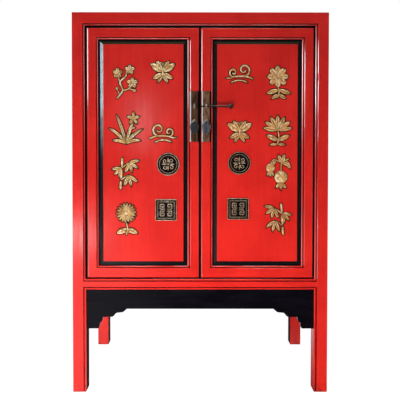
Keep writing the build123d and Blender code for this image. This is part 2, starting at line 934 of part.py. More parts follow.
def stem(width, *points):
    """A stem of even width through a few points."""
    return Sketch() + [
        Pos((x1 + x2) / 2, (y1 + y2) / 2)
        * Rot(0, 0, math.degrees(math.atan2(y2 - y1, x2 - x1)))
        * SlotCenterToCenter(math.hypot(x2 - x1, y2 - y1), width)
        for (x1, y1), (x2, y2) in zip(points, points[1:])
    ]


def disc(x, y, radius):
    """A round dot, bud or fruit."""
    return Pos(x, y) * Circle(radius)


def curl(x, y, radius, start, turn, width):
    """A stroke that winds inwards from its outer end, at an angle in degrees, and gets thinner."""
    steps = 24
    outside = []
    inside = []
    for number in range(steps + 1):
        share = number / steps
        angle = math.radians(start + turn * share)
        reach = radius * (1 - 0.78 * share)
        half = width * (1 - 0.45 * share) / 2
        outside.append((x + (reach + half) * math.cos(angle), y + (reach + half) * math.sin(angle)))
        inside.append((x + (reach - half) * math.cos(angle), y + (reach - half) * math.sin(angle)))
    return make_face(Polyline(*outside, *reversed(inside), close=True))


def blossom(x, y, radius, petals=5):
    """A round-petalled blossom."""
    shapes = [disc(x, y, radius * 0.45)]
    for number in range(petals):
        angle = math.radians(90 + 360 * number / petals)
        across = x + radius * 0.62 * math.cos(angle)
        up = y + radius * 0.62 * math.sin(angle)
        shapes.append(disc(across, up, radius * 0.36))
    return Sketch() + shapes


def fan(x, y, angles, length, width, bend=0.0):
    """Leaves or petals spread from one point."""
    return Sketch() + [leaf(x, y, angle, length, width, bend) for angle in angles]


def plum():
    """A crooked plum twig with three blossoms and two buds."""
    twig = stem(7, (-38, -66), (-14, -34), (-25, 0), (0, 28), (0, 64))
    twig += stem(5, (-14, -34), (12, -26), (24, -6)) + stem(5, (-25, 0), (-36, 30))
    twig += stem(4, (12, -26), (34, -34)) + stem(4, (-27, -52), (-37, -28))
    buds = disc(35, -34, 6) + disc(-38, -26, 5.5)
    return twig + buds + blossom(26, -2, 23) + blossom(-35, 38, 21) + blossom(16, 52, 20)


def orchid():
    """A tuft of long bending leaves with a flower and a bud."""
    leaves = ((140, 60, 48), (120, 98, 32), (102, 128, 12), (80, 104, -16), (62, 94, -38), (42, 64, -54))
    tuft = stem(4, (2, -42), (16, -4), (30, 40))
    for angle, length, bend in leaves:
        tuft += leaf(0, -66, angle, length, 13, bend)
    return tuft + fan(30, 40, range(18, 378, 72), 28, 13) + fan(18, 0, (5, 55), 20, 9)


def bamboo():
    """Two jointed canes with drooping sprays of leaves."""
    canes = stem(10, (-24, -64), (-22, -32)) + stem(10, (-21, -20), (-19, 16))
    canes += stem(9, (-18, 28), (-15, 65))
    canes += stem(5, (-21, -26), (-4, -14), (8, -6)) + stem(5, (-18, 24), (-2, 36), (12, 46))
    sprays = fan(8, -6, (-104, -68, -30), 48, 14, -14) + fan(12, 46, (-104, -66, -26, 18), 44, 14, -14)
    return canes + sprays + fan(-19, 24, (250, 216, 182), 42, 13, 14)


def chrysanthemum():
    """A many-petalled flower over two pairs of leaves."""
    flower = fan(0, 26, range(0, 360, 20), 43, 11, 10) + disc(0, 26, 12)
    stalk = stem(6, (0, -14), (5, -40), (0, -66))
    return flower + stalk + fan(4, -40, (-24, 204), 48, 21) + fan(2, -56, (24, 156), 34, 14)


def lotus():
    """An open lotus on its stem over two pairs of leaves."""
    flower = fan(0, -8, (8, 34, 62, 90, 118, 146, 172), 62, 21)
    stalk = stem(6, (0, -8), (-5, -38), (2, -66))
    return flower + stalk + fan(-2, -50, (24, 156), 52, 21) + fan(0, -66, (-4, 184), 34, 11)


def pomegranate():
    """Two crowned fruits on a leafy twig."""
    twig = stem(6, (-46, 62), (-18, 46), (-14, 10)) + stem(5, (-18, 46), (14, 58), (30, 42))
    fruits = disc(-14, -14, 27) + disc(30, 24, 18)
    crowns = fan(-14, -34, (-50, -90, -130), 34, 13) + fan(30, 12, (-54, -90, -126), 25, 10)
    leaves = fan(-18, 46, (64, 108, 196), 36, 16) + leaf(6, 54, -44, 44, 15) + leaf(-34, 56, -118, 40, 15)
    return twig + fruits + crowns + leaves


def peony():
    """A full flower of two rings of petals over its leaves."""
    flower = blossom(0, 24, 44, 8) + disc(0, 24, 30)
    stalk = stem(6, (0, -14), (-5, -42), (2, -66))
    return flower + stalk + fan(-3, -30, (-18, 198), 52, 20) + fan(-3, -48, (-34, 214), 36, 15)


def butterfly():
    """A butterfly with open wings and curled feelers."""
    wings = fan(0, 4, (34, 146), 60, 27) + fan(0, 4, (60, 120), 52, 20)
    wings += fan(0, -2, (-28, 208), 46, 21) + fan(0, -4, (-60, 240), 42, 15)
    feelers = curl(12, 34, 12, 200, -230, 4) + curl(-12, 34, 12, -20, 230, 4)
    return wings + feelers + stem(9, (0, -20), (0, 22))


def cloud():
    """A cloud of two spirals on long wavy strands."""
    spirals = curl(-18, 12, 26, -90, -440, 9) + curl(26, 2, 18, -90, 430, 8)
    strands = stem(7, (-52, -25), (-34, -17), (-10, -14), (24, -16), (40, -22), (55, -20))
    return spirals + strands + stem(6, (-30, -40), (-12, -32), (14, -32), (34, -40))


def on_field(motif, x, z):
    """A motif raised on a door's field, as its separate solids."""
    plane = Plane(origin=(x, field_front, z), x_dir=(1, 0, 0), z_dir=(0, -1, 0))
    return list(extrude(plane * scale(motif, by=motif_scale), amount=relief_thickness).solids())


def ring_frame(outer, wide):
    """A flat ring, round or square, as its outer shape is."""
    return outer - offset(outer, amount=-wide)


def round_ornament():
    """Gilt rim, line and rosette of a round plaque."""
    rim = ring_frame(Circle(round_plaque_radius), plaque_rim_width)
    line = ring_frame(Circle(round_plaque_radius - plaque_line_inset), plaque_line_width)
    rosette = fan(0, 0, range(0, 360, 45), round_plaque_radius * 0.68, 13)
    rosette += fan(0, 0, [22.5 + 45 * number for number in range(8)], round_plaque_radius * 0.66, 8)
    return rim + line + rosette


def square_ornament():
    """Gilt rim, line and interlaced squares of a square plaque."""
    size = square_plaque_size
    rim = ring_frame(Rectangle(size, size), plaque_rim_width)
    line_size = size - 2 * plaque_line_inset
    line = ring_frame(Rectangle(line_size, line_size), plaque_line_width)
    squares = Sketch()
    for turn in (0, 45):
        squares += Rot(0, 0, turn) * ring_frame(Rectangle(size / 2, size / 2), size * 0.045)
    return rim + line + squares + Circle(size * 0.06)


def gilt_on_plaque(ornament, x, z):
    """A flat ornament on the front of a plaque, as its separate solids."""
    plane = Plane(origin=(x, field_front - plaque_thickness, z), x_dir=(1, 0, 0), z_dir=(0, -1, 0))
    return list(extrude(plane * ornament, amount=plaque_gilt_thickness).solids())


def relief(sign, outer_motifs, inner_motifs, outer_inset, inner_inset):
    """All the motifs of a door: sign is -1 on the left and 1 on the right, and turns them about."""
    solids = []
    outer_x = sign * (-field_left - outer_inset)
    inner_x = sign * (-field_right + inner_inset)
    places = []
    for number, height in enumerate(outer_heights()):
        places.append((outer_motifs[number % len(outer_motifs)], outer_x, height))
    for motif, drop in zip(inner_motifs, inner_drops):
        places.append((motif, inner_x, field_high - drop))
    for motif, x, z in places:
        drawn = motif()
        if sign > 0:
            drawn = mirror(drawn, about=Plane.YZ)
        solids += on_field(drawn, x, z)
    return solids


def outer_heights():
    """The middle heights of the motifs in an outer column, as many as fit at the least pitch."""
    first = field_high - outer_first_drop
    last = field_low + outer_last_rise
    gaps = int((first - last) // outer_least_pitch)
    return [first - (first - last) * number / gaps for number in range(gaps + 1)]


def round_plaque(x, z):
    """Black round plaque on a field."""
    plane = Plane(origin=(x, field_front, z), x_dir=(1, 0, 0), z_dir=(0, -1, 0))
    return extrude(plane * Circle(round_plaque_radius), amount=plaque_thickness)


def square_plaque(x, z):
    """Black square plaque on a field."""
    half = square_plaque_size / 2
    return block((x - half, x + half), (field_front - plaque_thickness, field_front), (z - half, z + half))


# ---- writing the pieces ------------------------------------------------------------------------
def save(name, pieces):
    """Write one node: a solid, or several solids that belong together."""
    if isinstance(pieces, (list, tuple)):
        solids = [solid for piece in pieces for solid in piece.solids()]
    else:
        solids = list(pieces.solids())
    shape = solids[0] if len(solids) == 1 else Compound(children=solids)
    export_step(shape, f"parts/{name}.step")


def save_pair(name_left, name_right, piece):
    """Write a left node and its mirror image on the right."""
    save(name_left, piece)
    if isinstance(piece, (list, tuple)):
        save(name_right, [mirrored(one) for one in piece])
    else:
        save(name_right, mirrored(piece))


os.makedirs("parts", exist_ok=True)

save_pair("post_front_left", "post_front_right", left_post(True))
save_pair("post_back_left", "post_back_right", left_post(False))
save("top_rail_front", top_front_rail())
save("top_rail_back", top_back_rail())
save_pair("top_rail_left", "top_rail_right", top_side_rail())
save("top_panel", top_panel())
save("bottom_rail_front", bottom_front_rail())
save("bottom_rail_back", bottom_back_rail())
save_pair("bottom_rail_left", "bottom_rail_right", bottom_side_rail())
save("floor_panel", floor_panel())
save("apron_front", front_apron())
save_pair("apron_left", "apron_right", side_apron())
save_pair("side_panel_left", "side_panel_right", side_panel())
save_pair("back_panel_left", "back_panel_right", back_panel())
save("back_muntin", back_muntin())
save("shelf_lower", shelf(shelf_heights[0]))
save("shelf_upper", shelf(shelf_heights[1]))
save_pair("shelf_cleats_left", "shelf_cleats_right", cleats())

save_pair("door_left_hinge_stile", "door_right_hinge_stile", hinge_stile())
save_pair("door_left_meeting_stile", "door_right_meeting_stile", meeting_stile())
save_pair("door_left_top_rail", "door_right_top_rail", door_rail(True))
save_pair("door_left_bottom_rail", "door_right_bottom_rail", door_rail(False))
save_pair("door_left_panel", "door_right_panel", door_panel())
save_pair("door_left_battens", "door_right_battens", [batten_body(z) for z in batten_heights()])

left_plants = [plum, orchid, bamboo, chrysanthemum]
right_plants = [peony, lotus, pomegranate, bamboo]
left_motifs = relief(-1, left_plants, [butterfly, cloud], left_outer_inset, left_inner_inset)
right_motifs = relief(1, right_plants, [cloud, butterfly], right_outer_inset, right_inner_inset)
left_round = (field_right - left_round_inset, field_high - left_round_drop)
left_square = (field_right - left_square_inset, field_high - left_square_drop)
right_round = (-field_right + right_round_inset, field_high - right_round_drop)
right_square = (-field_right + right_square_inset, field_high - right_square_drop)
save("door_left_round_plaque", round_plaque(*left_round))
save("door_right_round_plaque", round_plaque(*right_round))
save("door_left_square_plaque", square_plaque(*left_square))
save("door_right_square_plaque", square_plaque(*right_square))
left_gilt = gilt_on_plaque(round_ornament(), *left_round)
left_gilt += gilt_on_plaque(square_ornament(), *left_square)
right_gilt = gilt_on_plaque(round_ornament(), *right_round)
right_gilt += gilt_on_plaque(square_ornament(), *right_square)
save("door_left_relief", left_motifs + left_gilt)
save("door_right_relief", right_motifs + right_gilt)

save_pair("lock_plate_left", "lock_plate_right", lock_plate())
save_pair("bolt_eye_left", "bolt_eye_right", bolt_eye())
save_pair("pull_boss_left", "pull_boss_right", pull_boss())
save_pair("pull_ring_left", "pull_ring_right", pull_ring())
save_pair("pull_left", "pull_right", pull())
save("bolt", bolt())
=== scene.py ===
"""Finish, relief and door furniture of a two-door lacquered cabinet on tall legs.

Metres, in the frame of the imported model: X to the right, Y to the back, Z up, floor at Z = 0.
"""

import logging
import math
from dataclasses import dataclass, replace
from enum import Enum
from functools import reduce
from typing import Callable, Iterable, Sequence

import bmesh
import bpy
from mathutils import Euler, Matrix, Vector


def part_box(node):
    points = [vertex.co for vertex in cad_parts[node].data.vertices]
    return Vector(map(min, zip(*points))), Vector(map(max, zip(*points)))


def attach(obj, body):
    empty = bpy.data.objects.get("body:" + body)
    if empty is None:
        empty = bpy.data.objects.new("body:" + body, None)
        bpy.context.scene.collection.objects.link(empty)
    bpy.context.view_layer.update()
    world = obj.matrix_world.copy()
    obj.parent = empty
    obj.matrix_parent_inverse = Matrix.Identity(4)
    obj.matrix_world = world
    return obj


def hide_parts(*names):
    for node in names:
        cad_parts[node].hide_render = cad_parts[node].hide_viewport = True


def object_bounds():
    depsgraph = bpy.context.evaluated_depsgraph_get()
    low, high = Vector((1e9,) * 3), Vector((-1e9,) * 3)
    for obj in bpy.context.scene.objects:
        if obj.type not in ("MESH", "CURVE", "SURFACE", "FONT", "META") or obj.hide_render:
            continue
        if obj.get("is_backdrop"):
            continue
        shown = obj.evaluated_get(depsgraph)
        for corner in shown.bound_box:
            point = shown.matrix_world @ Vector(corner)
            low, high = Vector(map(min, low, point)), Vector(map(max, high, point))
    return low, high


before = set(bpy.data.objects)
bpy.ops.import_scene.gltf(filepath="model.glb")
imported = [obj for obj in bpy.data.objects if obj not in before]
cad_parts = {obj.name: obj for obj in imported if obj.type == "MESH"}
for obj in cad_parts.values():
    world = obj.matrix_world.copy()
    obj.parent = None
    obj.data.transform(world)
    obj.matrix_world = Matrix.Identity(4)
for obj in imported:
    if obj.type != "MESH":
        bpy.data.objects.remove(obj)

LOG = logging.getLogger("cabinet")
MM = 0.001

Triple = tuple[float, float, float]
Colour = Triple
Point2 = tuple[float, float]
Socket = bpy.types.NodeSocket
Value = Socket | float
Paint = Socket | Colour
WHITE: Colour = (1.0, 1.0, 1.0)
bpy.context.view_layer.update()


# ---- shader building ----------------------------------------------------------------------
class Nodes:
    """A node tree under construction, with short calls for the nodes it needs."""

    def __init__(self, tree: bpy.types.NodeTree) -> None:
        """Take up a tree."""
        self.tree = tree

    def add(
        self, kind: str, values: dict[str | int, object] | None = None, **settings: object
    ) -> bpy.types.Node:
        """Add a node.

        Args:
            kind: the node's type name without its ShaderNode prefix.
            values: inputs by name or number, each a constant or a socket to link.
            settings: the node's own options.

        Returns:
            The new node.
        """
        node = self.tree.nodes.new("ShaderNode" + kind)
        for option, choice in settings.items():
            setattr(node, option, choice)
        for key, value in (values or {}).items():
            if isinstance(value, Socket):
                self.tree.links.new(value, node.inputs[key])
            else:
                node.inputs[key].default_value = value
        return node

    def place(self) -> Socket:
        """The point on the surface, in the piece's own space, in metres."""
        return self.add("TexCoord").outputs["Object"]

    def stretched(self, scale: Sequence[float]) -> Socket:
        """The point on the surface, scaled along each axis."""
        values = {0: self.place(), 1: tuple(scale)}
        return self.add("VectorMath", values, operation="MULTIPLY").outputs[0]

    def axis(self, name: str, of: Socket | None = None) -> Socket:
        """One coordinate, X, Y or Z, of a vector, or of the point on the surface."""
        return self.add("SeparateXYZ", {0: of or self.place()}).outputs[name]

    def noise(self, vector: Socket, scale: float, detail: float = 3.0, rough: float = 0.5) -> Socket:
        """Fractal noise from 0 to 1."""
        values = {"Vector": vector, "Scale": scale, "Detail": detail, "Roughness": rough}
        return self.add("TexNoise", values).outputs["Fac"]

    def fade(self, value: Value, low: float, high: float, start: float = 0.0, end: float = 1.0) -> Socket:
        """A value spread from one range to another, held at its ends."""
        values = {"Value": value, "From Min": low, "From Max": high, "To Min": start, "To Max": end}
        return self.add("MapRange", values, interpolation_type="SMOOTHSTEP").outputs["Result"]

    def math(self, operation: str, first: Value, second: Value = 0.0, held: bool = True) -> Socket:
        """One arithmetic step on two values, held between 0 and 1 if wanted."""
        return self.add("Math", {0: first, 1: second}, operation=operation, use_clamp=held).outputs[0]

    def times(self, first: Value, second: Value) -> Socket:
        """The product of two masks."""
        return self.math("MULTIPLY", first, second)

    def plus(self, first: Value, second: Value) -> Socket:
        """The sum of two masks, at most 1."""
        return self.math("ADD", first, second)

    def union(self, *masks: Socket) -> Socket:
        """The strongest of several masks.

        Args:
            masks: the masks.

        Returns:
            The mask that is as strong as the strongest of them.
        """
        return reduce(lambda first, second: self.math("MAXIMUM", first, second), masks)

    def blend(self, factor: Socket, first: Value, second: Value) -> Socket:
        """One value laid over another by a mask."""
        return self.add("Mix", {0: factor, 2: first, 3: second}, data_type="FLOAT").outputs[0]

    def mix(self, factor: Socket, *paints: Paint) -> Socket:
        """One colour laid over another by a mask.

        Args:
            factor: the mask, 0 for the first colour and 1 for the second.
            paints: the two colours.

        Returns:
            The mixed colour.
        """
        values = {0: factor}
        for key, paint in zip((6, 7), paints):
            values[key] = paint if isinstance(paint, Socket) else (*paint, 1.0)
        return self.add("Mix", values, data_type="RGBA").outputs[2]

    def matt(self, grey: float) -> Socket:
        """A matt grey shader."""
        return self.add("BsdfDiffuse", {"Color": (grey, grey, grey, 1.0)}).outputs[0]

    def shining(self, kind: str, colour: Colour, strength: Value) -> Socket:
        """A shader that shines: Emission on a surface, or Background round everything."""
        return self.add(kind, {"Color": (*colour, 1.0), "Strength": strength}).outputs[0]

    def show(self, output: str, lighting: Socket, mirrored: Socket, seen: Socket) -> None:
        """End the tree with one shader for each use.

        Args:
            output: the tree's output node.
            lighting: what lights other things.
            mirrored: what mirrors and glass find.
            seen: what is seen straight.
        """
        path = self.add("LightPath").outputs
        mirror = self.union(path["Is Glossy Ray"], path["Is Transmission Ray"])
        both = self.add("MixShader", {0: mirror, 1: lighting, 2: mirrored}).outputs[0]
        both = self.add("MixShader", {0: path["Is Camera Ray"], 1: both, 2: seen}).outputs[0]
        self.tree.links.new(both, self.tree.nodes[output].inputs["Surface"])


class Graph(Nodes):
    """A surface material under construction."""

    def __init__(self, name: str) -> None:
        """Start a material by its name."""
        self.material = bpy.data.materials.new(name)
        self.material.use_nodes = True
        super().__init__(self.material.node_tree)

    def feed(self, values: dict[str, Socket | float | Colour]) -> bpy.types.Material:
        """Set or link inputs of the surface shader.

        Args:
            values: inputs by name, each a constant, a colour or a socket to link.

        Returns:
            The material.
        """
        for name, value in values.items():
            socket = self.tree.nodes["Principled BSDF"].inputs[name]
            if isinstance(value, Socket):
                self.tree.links.new(value, socket)
            else:
                socket.default_value = (*value, 1.0) if isinstance(value, tuple) else value
        return self.material

    def edges(self, radius: float) -> Socket:
        """A mask that is 1 along sharp outer edges and 0 on flat and hollow places.

        Args:
            radius: how far the mask reaches from an edge, in metres.

        Returns:
            The mask.
        """
        rounded = self.add("Bevel", {"Radius": radius}, samples=4).outputs[0]
        flat = self.add("NewGeometry").outputs["Normal"]
        same = self.add("VectorMath", {0: rounded, 1: flat}, operation="DOT_PRODUCT").outputs["Value"]
        return self.fade(same, 0.995, 0.80)

    def hollows(self, distance: float, first: float, full: float) -> Socket:
        """A mask that is 1 in grooves and corners and 0 in the open.

        Args:
            distance: how far the walls of a hollow may be, in metres.
            first: how open a place is where the mask sets in, from 0 to 1.
            full: how open a place is where the mask is whole.

        Returns:
            The mask.
        """
        open_share = self.add("AmbientOcclusion", {"Distance": distance}, samples=8).outputs["AO"]
        return self.fade(open_share, first, full)

    def inside(self, region: "Region") -> Socket:
        """A mask that is 1 inside a box of the piece's own space.

        Args:
            region: the box.

        Returns:
            The mask.
        """
        masks = []
        for name, start, end in zip("XYZ", region.low, region.high):
            coordinate = self.axis(name)
            masks.append(self.math("GREATER_THAN", coordinate, start))
            masks.append(self.math("LESS_THAN", coordinate, end))
        return reduce(self.times, masks)

    def raised(
        self, height: Socket, distance: float, strength: float, under: Socket | None = None
    ) -> Socket:
        """The surface's direction after a height map is laid over it.

        Args:
            height: the map, from 0 to 1.
            distance: the height that 1 stands for, in metres.
            strength: how much of it shows.
            under: the direction that it starts from, if not the mesh's own.

        Returns:
            The new direction.
        """
        values = {"Height": height, "Distance": distance, "Strength": strength}
        if under is not None:
            values["Normal"] = under
        return self.add("Bump", values).outputs[0]

    def turned(self, mask: Socket, direction: Triple, under: Socket) -> Socket:
        """The surface's direction, turned to one fixed direction where a mask says so.

        Args:
            mask: where it is turned.
            direction: the fixed direction, in the piece's own space.
            under: the direction elsewhere.

        Returns:
            The new direction.
        """
        settings = {"vector_type": "NORMAL", "convert_from": "OBJECT", "convert_to": "WORLD"}
        fixed = self.add("VectorTransform", {0: direction}, **settings).outputs[0]
        return self.add("Mix", {0: mask, 4: under, 5: fixed}, data_type="VECTOR").outputs[1]


# ---- finishes -----------------------------------------------------------------------------
class Grain(Enum):
    """The direction that a member's wood, and so its brush marks, run in."""

    ALONG_X = (1.0, 26.0, 26.0)
    ALONG_Y = (26.0, 1.0, 26.0)
    ALONG_Z = (26.0, 26.0, 1.0)


@dataclass(frozen=True)
class Region:
    """A box of the frame whose surfaces have another finish than the piece that they are on."""

    low: Triple
    high: Triple


@dataclass(frozen=True)
class HighlightLine:
    """A painted highlight line along a moulding, whose surface is turned to face a lamp."""

    region: Region
    direction: Triple
    highlighted: bool


@dataclass
class Coat:
    """The state of a lacquered surface while its layers are laid."""

    colour: Socket
    rough: Socket
    shadowed: Socket

    def lay(self, graph: Graph, mask: Socket, colour: Paint, rough: Value) -> None:
        """Lay another colour and roughness over it by a mask."""
        self.colour = graph.mix(mask, self.colour, colour)
        self.rough = graph.blend(mask, self.rough, rough)


@dataclass(frozen=True)
class RubbedLacquer:
    """Old red lacquer: brushed, a little uneven, rubbed to its dark ground at edges; painted shade darkens
    its grooves.
    """

    name: str
    grain: Grain
    bare: tuple[Region, ...] = ()
    """Where the wood is only stained."""
    unlit: tuple[Region, ...] = ()
    # Where painted shade makes it black and dull.
    """Where it is black and dull."""
    field: Region | None = None
    """What lies behind the front of a raised field, and so is its black bevel."""
    highlight_edge: float | None = None
    # Where the painted highlight along a left edge starts, along X.
    """Where a left edge is worn round, along X."""
    lines: tuple[HighlightLine, ...] = ()
    bright: Colour = (0.72, 0.018, 0.012)
    deep: Colour = (0.60, 0.0115, 0.0075)
    # The dark ground where the lacquer is rubbed through; it is also the colour of the painted shade in
    # grooves.
    ground: Colour = (0.008, 0.002, 0.002)
    # The black of the raised field's bevel, and of the painted shade in the unlit regions.
    black: Colour = (0.0030, 0.0030, 0.0034)
    stain: Colour = (0.085, 0.036, 0.020)
    # Tint of reflections where shadowed: painted shade, and dirt in the bevel's scratches.
    soot_and_shade: Colour = (0.05, 0.05, 0.05)
    gloss: float = 0.7
    # The strong clear coat that brightens the painted highlights.
    highlight_coat_index: float = 3.0
    highlight_coat_rough: float = 0.14
    brush_height: float = 0.12 * MM
    lip_width: float = 5.0 * MM
    lip_slope: float = 0.6
    edge_reach: float = 1.6 * MM
    groove_reach: float = 7.0 * MM

    def material(self) -> bpy.types.Material:
        """Build the lacquer's material.

        Returns:
            The material.
        """
        graph = Graph(self.name)
        brushed = graph.stretched(self.grain.value)
        streaks = graph.noise(brushed, 5.0, 4.0, 0.55)
        clouds = graph.noise(graph.place(), 5.0, 4.0, 0.6)
        uneven = graph.fade(graph.plus(graph.times(streaks, 0.35), clouds), 0.48, 0.86)
        clean = graph.mix(uneven, self.deep, self.bright)
        shine = graph.fade(graph.noise(brushed, 3.0, 3.0), 0.3, 0.7, 0.16, 0.24)
        # Painted shade: grooves, found by ambient occlusion, are darkened towards the ground colour and
        # their reflections dulled.
        grooves = graph.hollows(self.groove_reach, 0.90, 0.45)
        wear = graph.union(self.wear(graph, brushed), grooves)
        rough = graph.plus(shine, graph.times(wear, 0.25))
        normal: Socket | None = None
        highlighted: list[Socket] = []
        # Painted highlight along the left edge: a sloped bump and the strong coat make it catch a lamp, and
        # the edge is darkened a little.
        if self.highlight_edge is not None:
            lip = self.lip(graph)
            highlighted.append(graph.fade(lip, 1.0, 0.9))
            wear = graph.union(wear, graph.fade(lip, 1.0, 0.8, 0.0, 0.25))
            normal = graph.raised(lip, self.lip_slope * self.lip_width, 1.0)
        coat = Coat(graph.mix(wear, clean, self.ground), rough, grooves)
        self.lay_regions(graph, coat)
        relief = graph.plus(graph.times(streaks, 0.6), graph.times(clouds, 0.4))
        normal = graph.raised(relief, self.brush_height, 0.22, normal)
        # Painted highlight lines: each turns the surface to a fixed direction so that it catches a lamp,
        # lays the clean red there and lifts the painted shade; noise breaks them up.
        if self.lines:
            rubbed = graph.fade(graph.noise(brushed, 9.0, 4.0), 0.36, 0.52, 0.55, 1.0)
        for line in self.lines:
            mask = graph.times(graph.inside(line.region), rubbed)
            coat.lay(graph, mask, clean, shine)
            coat.shadowed = graph.times(coat.shadowed, graph.math("SUBTRACT", 1.0, mask))
            normal = graph.turned(mask, line.direction, normal)
            if line.highlighted:
                highlighted.append(mask)
        # The strong clear coat on the painted highlights.
        if highlighted:
            lit = graph.math("SUBTRACT", 1.0, coat.shadowed)
            graph.feed({"Coat Weight": graph.times(graph.union(*highlighted), lit), "Coat Normal": normal})
            graph.feed({"Coat IOR": self.highlight_coat_index, "Coat Roughness": self.highlight_coat_rough})
        # Painted shade in reflections: they are tinted dark where shadowed.
        tint = graph.mix(coat.shadowed, WHITE, self.soot_and_shade)
        graph.feed({"Specular IOR Level": self.gloss, "Specular Tint": tint, "Normal": normal})
        return graph.feed({"Base Color": coat.colour, "Roughness": coat.rough})

    def lay_regions(self, graph: Graph, coat: Coat) -> None:
        """Lay the black bevel of a raised field, the stained inside, and the painted shade that makes
        reveals and gaps black.

        Args:
            graph: the material.
            coat: the surface so far, which is changed.
        """
        if self.field is not None:
            face = self.field.low[1]
            below = graph.fade(graph.axis("Y"), face + 0.15 * MM, face + 0.5 * MM)
            scratches = graph.noise(graph.stretched((50.0, 50.0, 18.0)), 9.0, 4.0, 0.7)
            scratches = graph.fade(scratches, 0.46, 0.66)
            coat.lay(graph, below, self.black, graph.plus(0.13, graph.times(scratches, 0.25)))
            dirt = graph.times(graph.times(below, scratches), 0.9)
            coat.shadowed = graph.union(coat.shadowed, dirt)
        for region in self.bare:
            coat.lay(graph, graph.inside(region), self.stain, 0.6)
        # Painted shade: black and dull where the light does not reach.
        for region in self.unlit:
            within = graph.inside(region)
            coat.lay(graph, within, self.black, 1.0)
            coat.shadowed = graph.union(coat.shadowed, within)

    def lip(self, graph: Graph) -> Socket:
        """A slope that rises from the left edge, as a height map, for the painted highlight there."""
        reach = {"From Min": self.highlight_edge, "From Max": self.highlight_edge + self.lip_width}
        values = {"Value": graph.axis("X"), **reach}
        return graph.add("MapRange", values).outputs["Result"]

    def wear(self, graph: Graph, brushed: Socket) -> Socket:
        """Where the lacquer is rubbed or chipped through, or dark with dirt.

        Args:
            graph: the material.
            brushed: the surface point, stretched along the wood.

        Returns:
            The mask.
        """
        patches = graph.fade(graph.noise(graph.place(), 42.0, 5.0, 0.65), 0.50, 0.62)
        chipped = graph.times(graph.edges(self.edge_reach), patches)
        rubbed = graph.times(graph.edges(0.4 * self.edge_reach), 0.6)
        dents = graph.fade(graph.noise(brushed, 17.0, 5.0, 0.7), 0.68, 0.76)
        dents = graph.times(dents, graph.fade(graph.noise(graph.place(), 7.0, 2.0), 0.55, 0.66))
        foot = graph.times(graph.fade(graph.axis("Z"), 0.05, 0.0, 0.0, 0.8), patches)
        return graph.union(chipped, rubbed, dents, foot)


@dataclass(frozen=True)
class BlackLacquer:
    """Plain black lacquer, a little cloudy."""

    name: str = "black_lacquer"
    black: Colour = (0.0018, 0.0014, 0.0030)
    grey: Colour = (0.0034, 0.0029, 0.0054)
    rubbed: Colour = (0.045, 0.026, 0.022)
    shine: float = 0.18

    def material(self) -> bpy.types.Material:
        """Build the lacquer's material.

        Returns:
            The material.
        """
        graph = Graph(self.name)
        clouds = graph.fade(graph.noise(graph.stretched((4.0, 14.0, 26.0)), 1.6, 4.0), 0.35, 0.75)
        specks = graph.fade(graph.noise(graph.place(), 90.0, 4.0), 0.50, 0.68)
        wear = graph.times(graph.edges(1.2 * MM), specks)
        brushed = graph.noise(graph.stretched((3.0, 20.0, 40.0)), 5.0, 3.0)
        return graph.feed({
            "Base Color": graph.mix(wear, graph.mix(clouds, self.black, self.grey), self.rubbed),
            "Roughness": graph.fade(clouds, 0.0, 1.0, 0.26, 0.40),
            "Specular IOR Level": self.shine,
            "Normal": graph.raised(brushed, 0.15 * MM, 0.12),
        })


@dataclass(frozen=True)
class AgedGilding:
    """Gold leaf gone warm and dull, with painted shade in its hollows and a painted highlight in patches on
    each crest.
    """

    name: str
    gold: Colour = (0.94, 0.58, 0.19)
    # The colour of the painted highlight on each crest.
    pale: Colour = (1.0, 0.90, 0.66)
    dull: Colour = (0.44, 0.21, 0.06)
    # The colour of the painted shade in the hollows.
    dark: Colour = (0.010, 0.006, 0.003)
    metallic: float = 0.25
    hollow_reach: float = 5.0 * MM

    def material(self) -> bpy.types.Material:
        """Build the gilding's material.

        Returns:
            The material.
        """
        graph = Graph(self.name)
        patches = graph.fade(graph.noise(graph.place(), 60.0, 5.0, 0.62), 0.36, 0.62)
        # Painted highlight: pale patches where the relief is open; painted shade: dark in the hollows, by
        # ambient occlusion.
        crest_highlight = graph.fade(graph.hollows(self.hollow_reach, 0.97, 0.80), 0.5, 0.0)
        rubbed = graph.fade(graph.noise(graph.place(), 95.0, 3.0), 0.46, 0.58)
        colour = graph.mix(graph.times(crest_highlight, rubbed), graph.mix(patches, self.dull, self.gold), self.pale)
        return graph.feed({
            "Base Color": graph.mix(graph.hollows(self.hollow_reach, 0.84, 0.42), colour, self.dark),
            "Metallic": self.metallic,
            "Roughness": graph.fade(patches, 0.0, 1.0, 0.40, 0.22),
            "Normal": graph.raised(graph.noise(graph.place(), 130.0, 4.0, 0.6), 0.9 * MM, 0.7),
        })


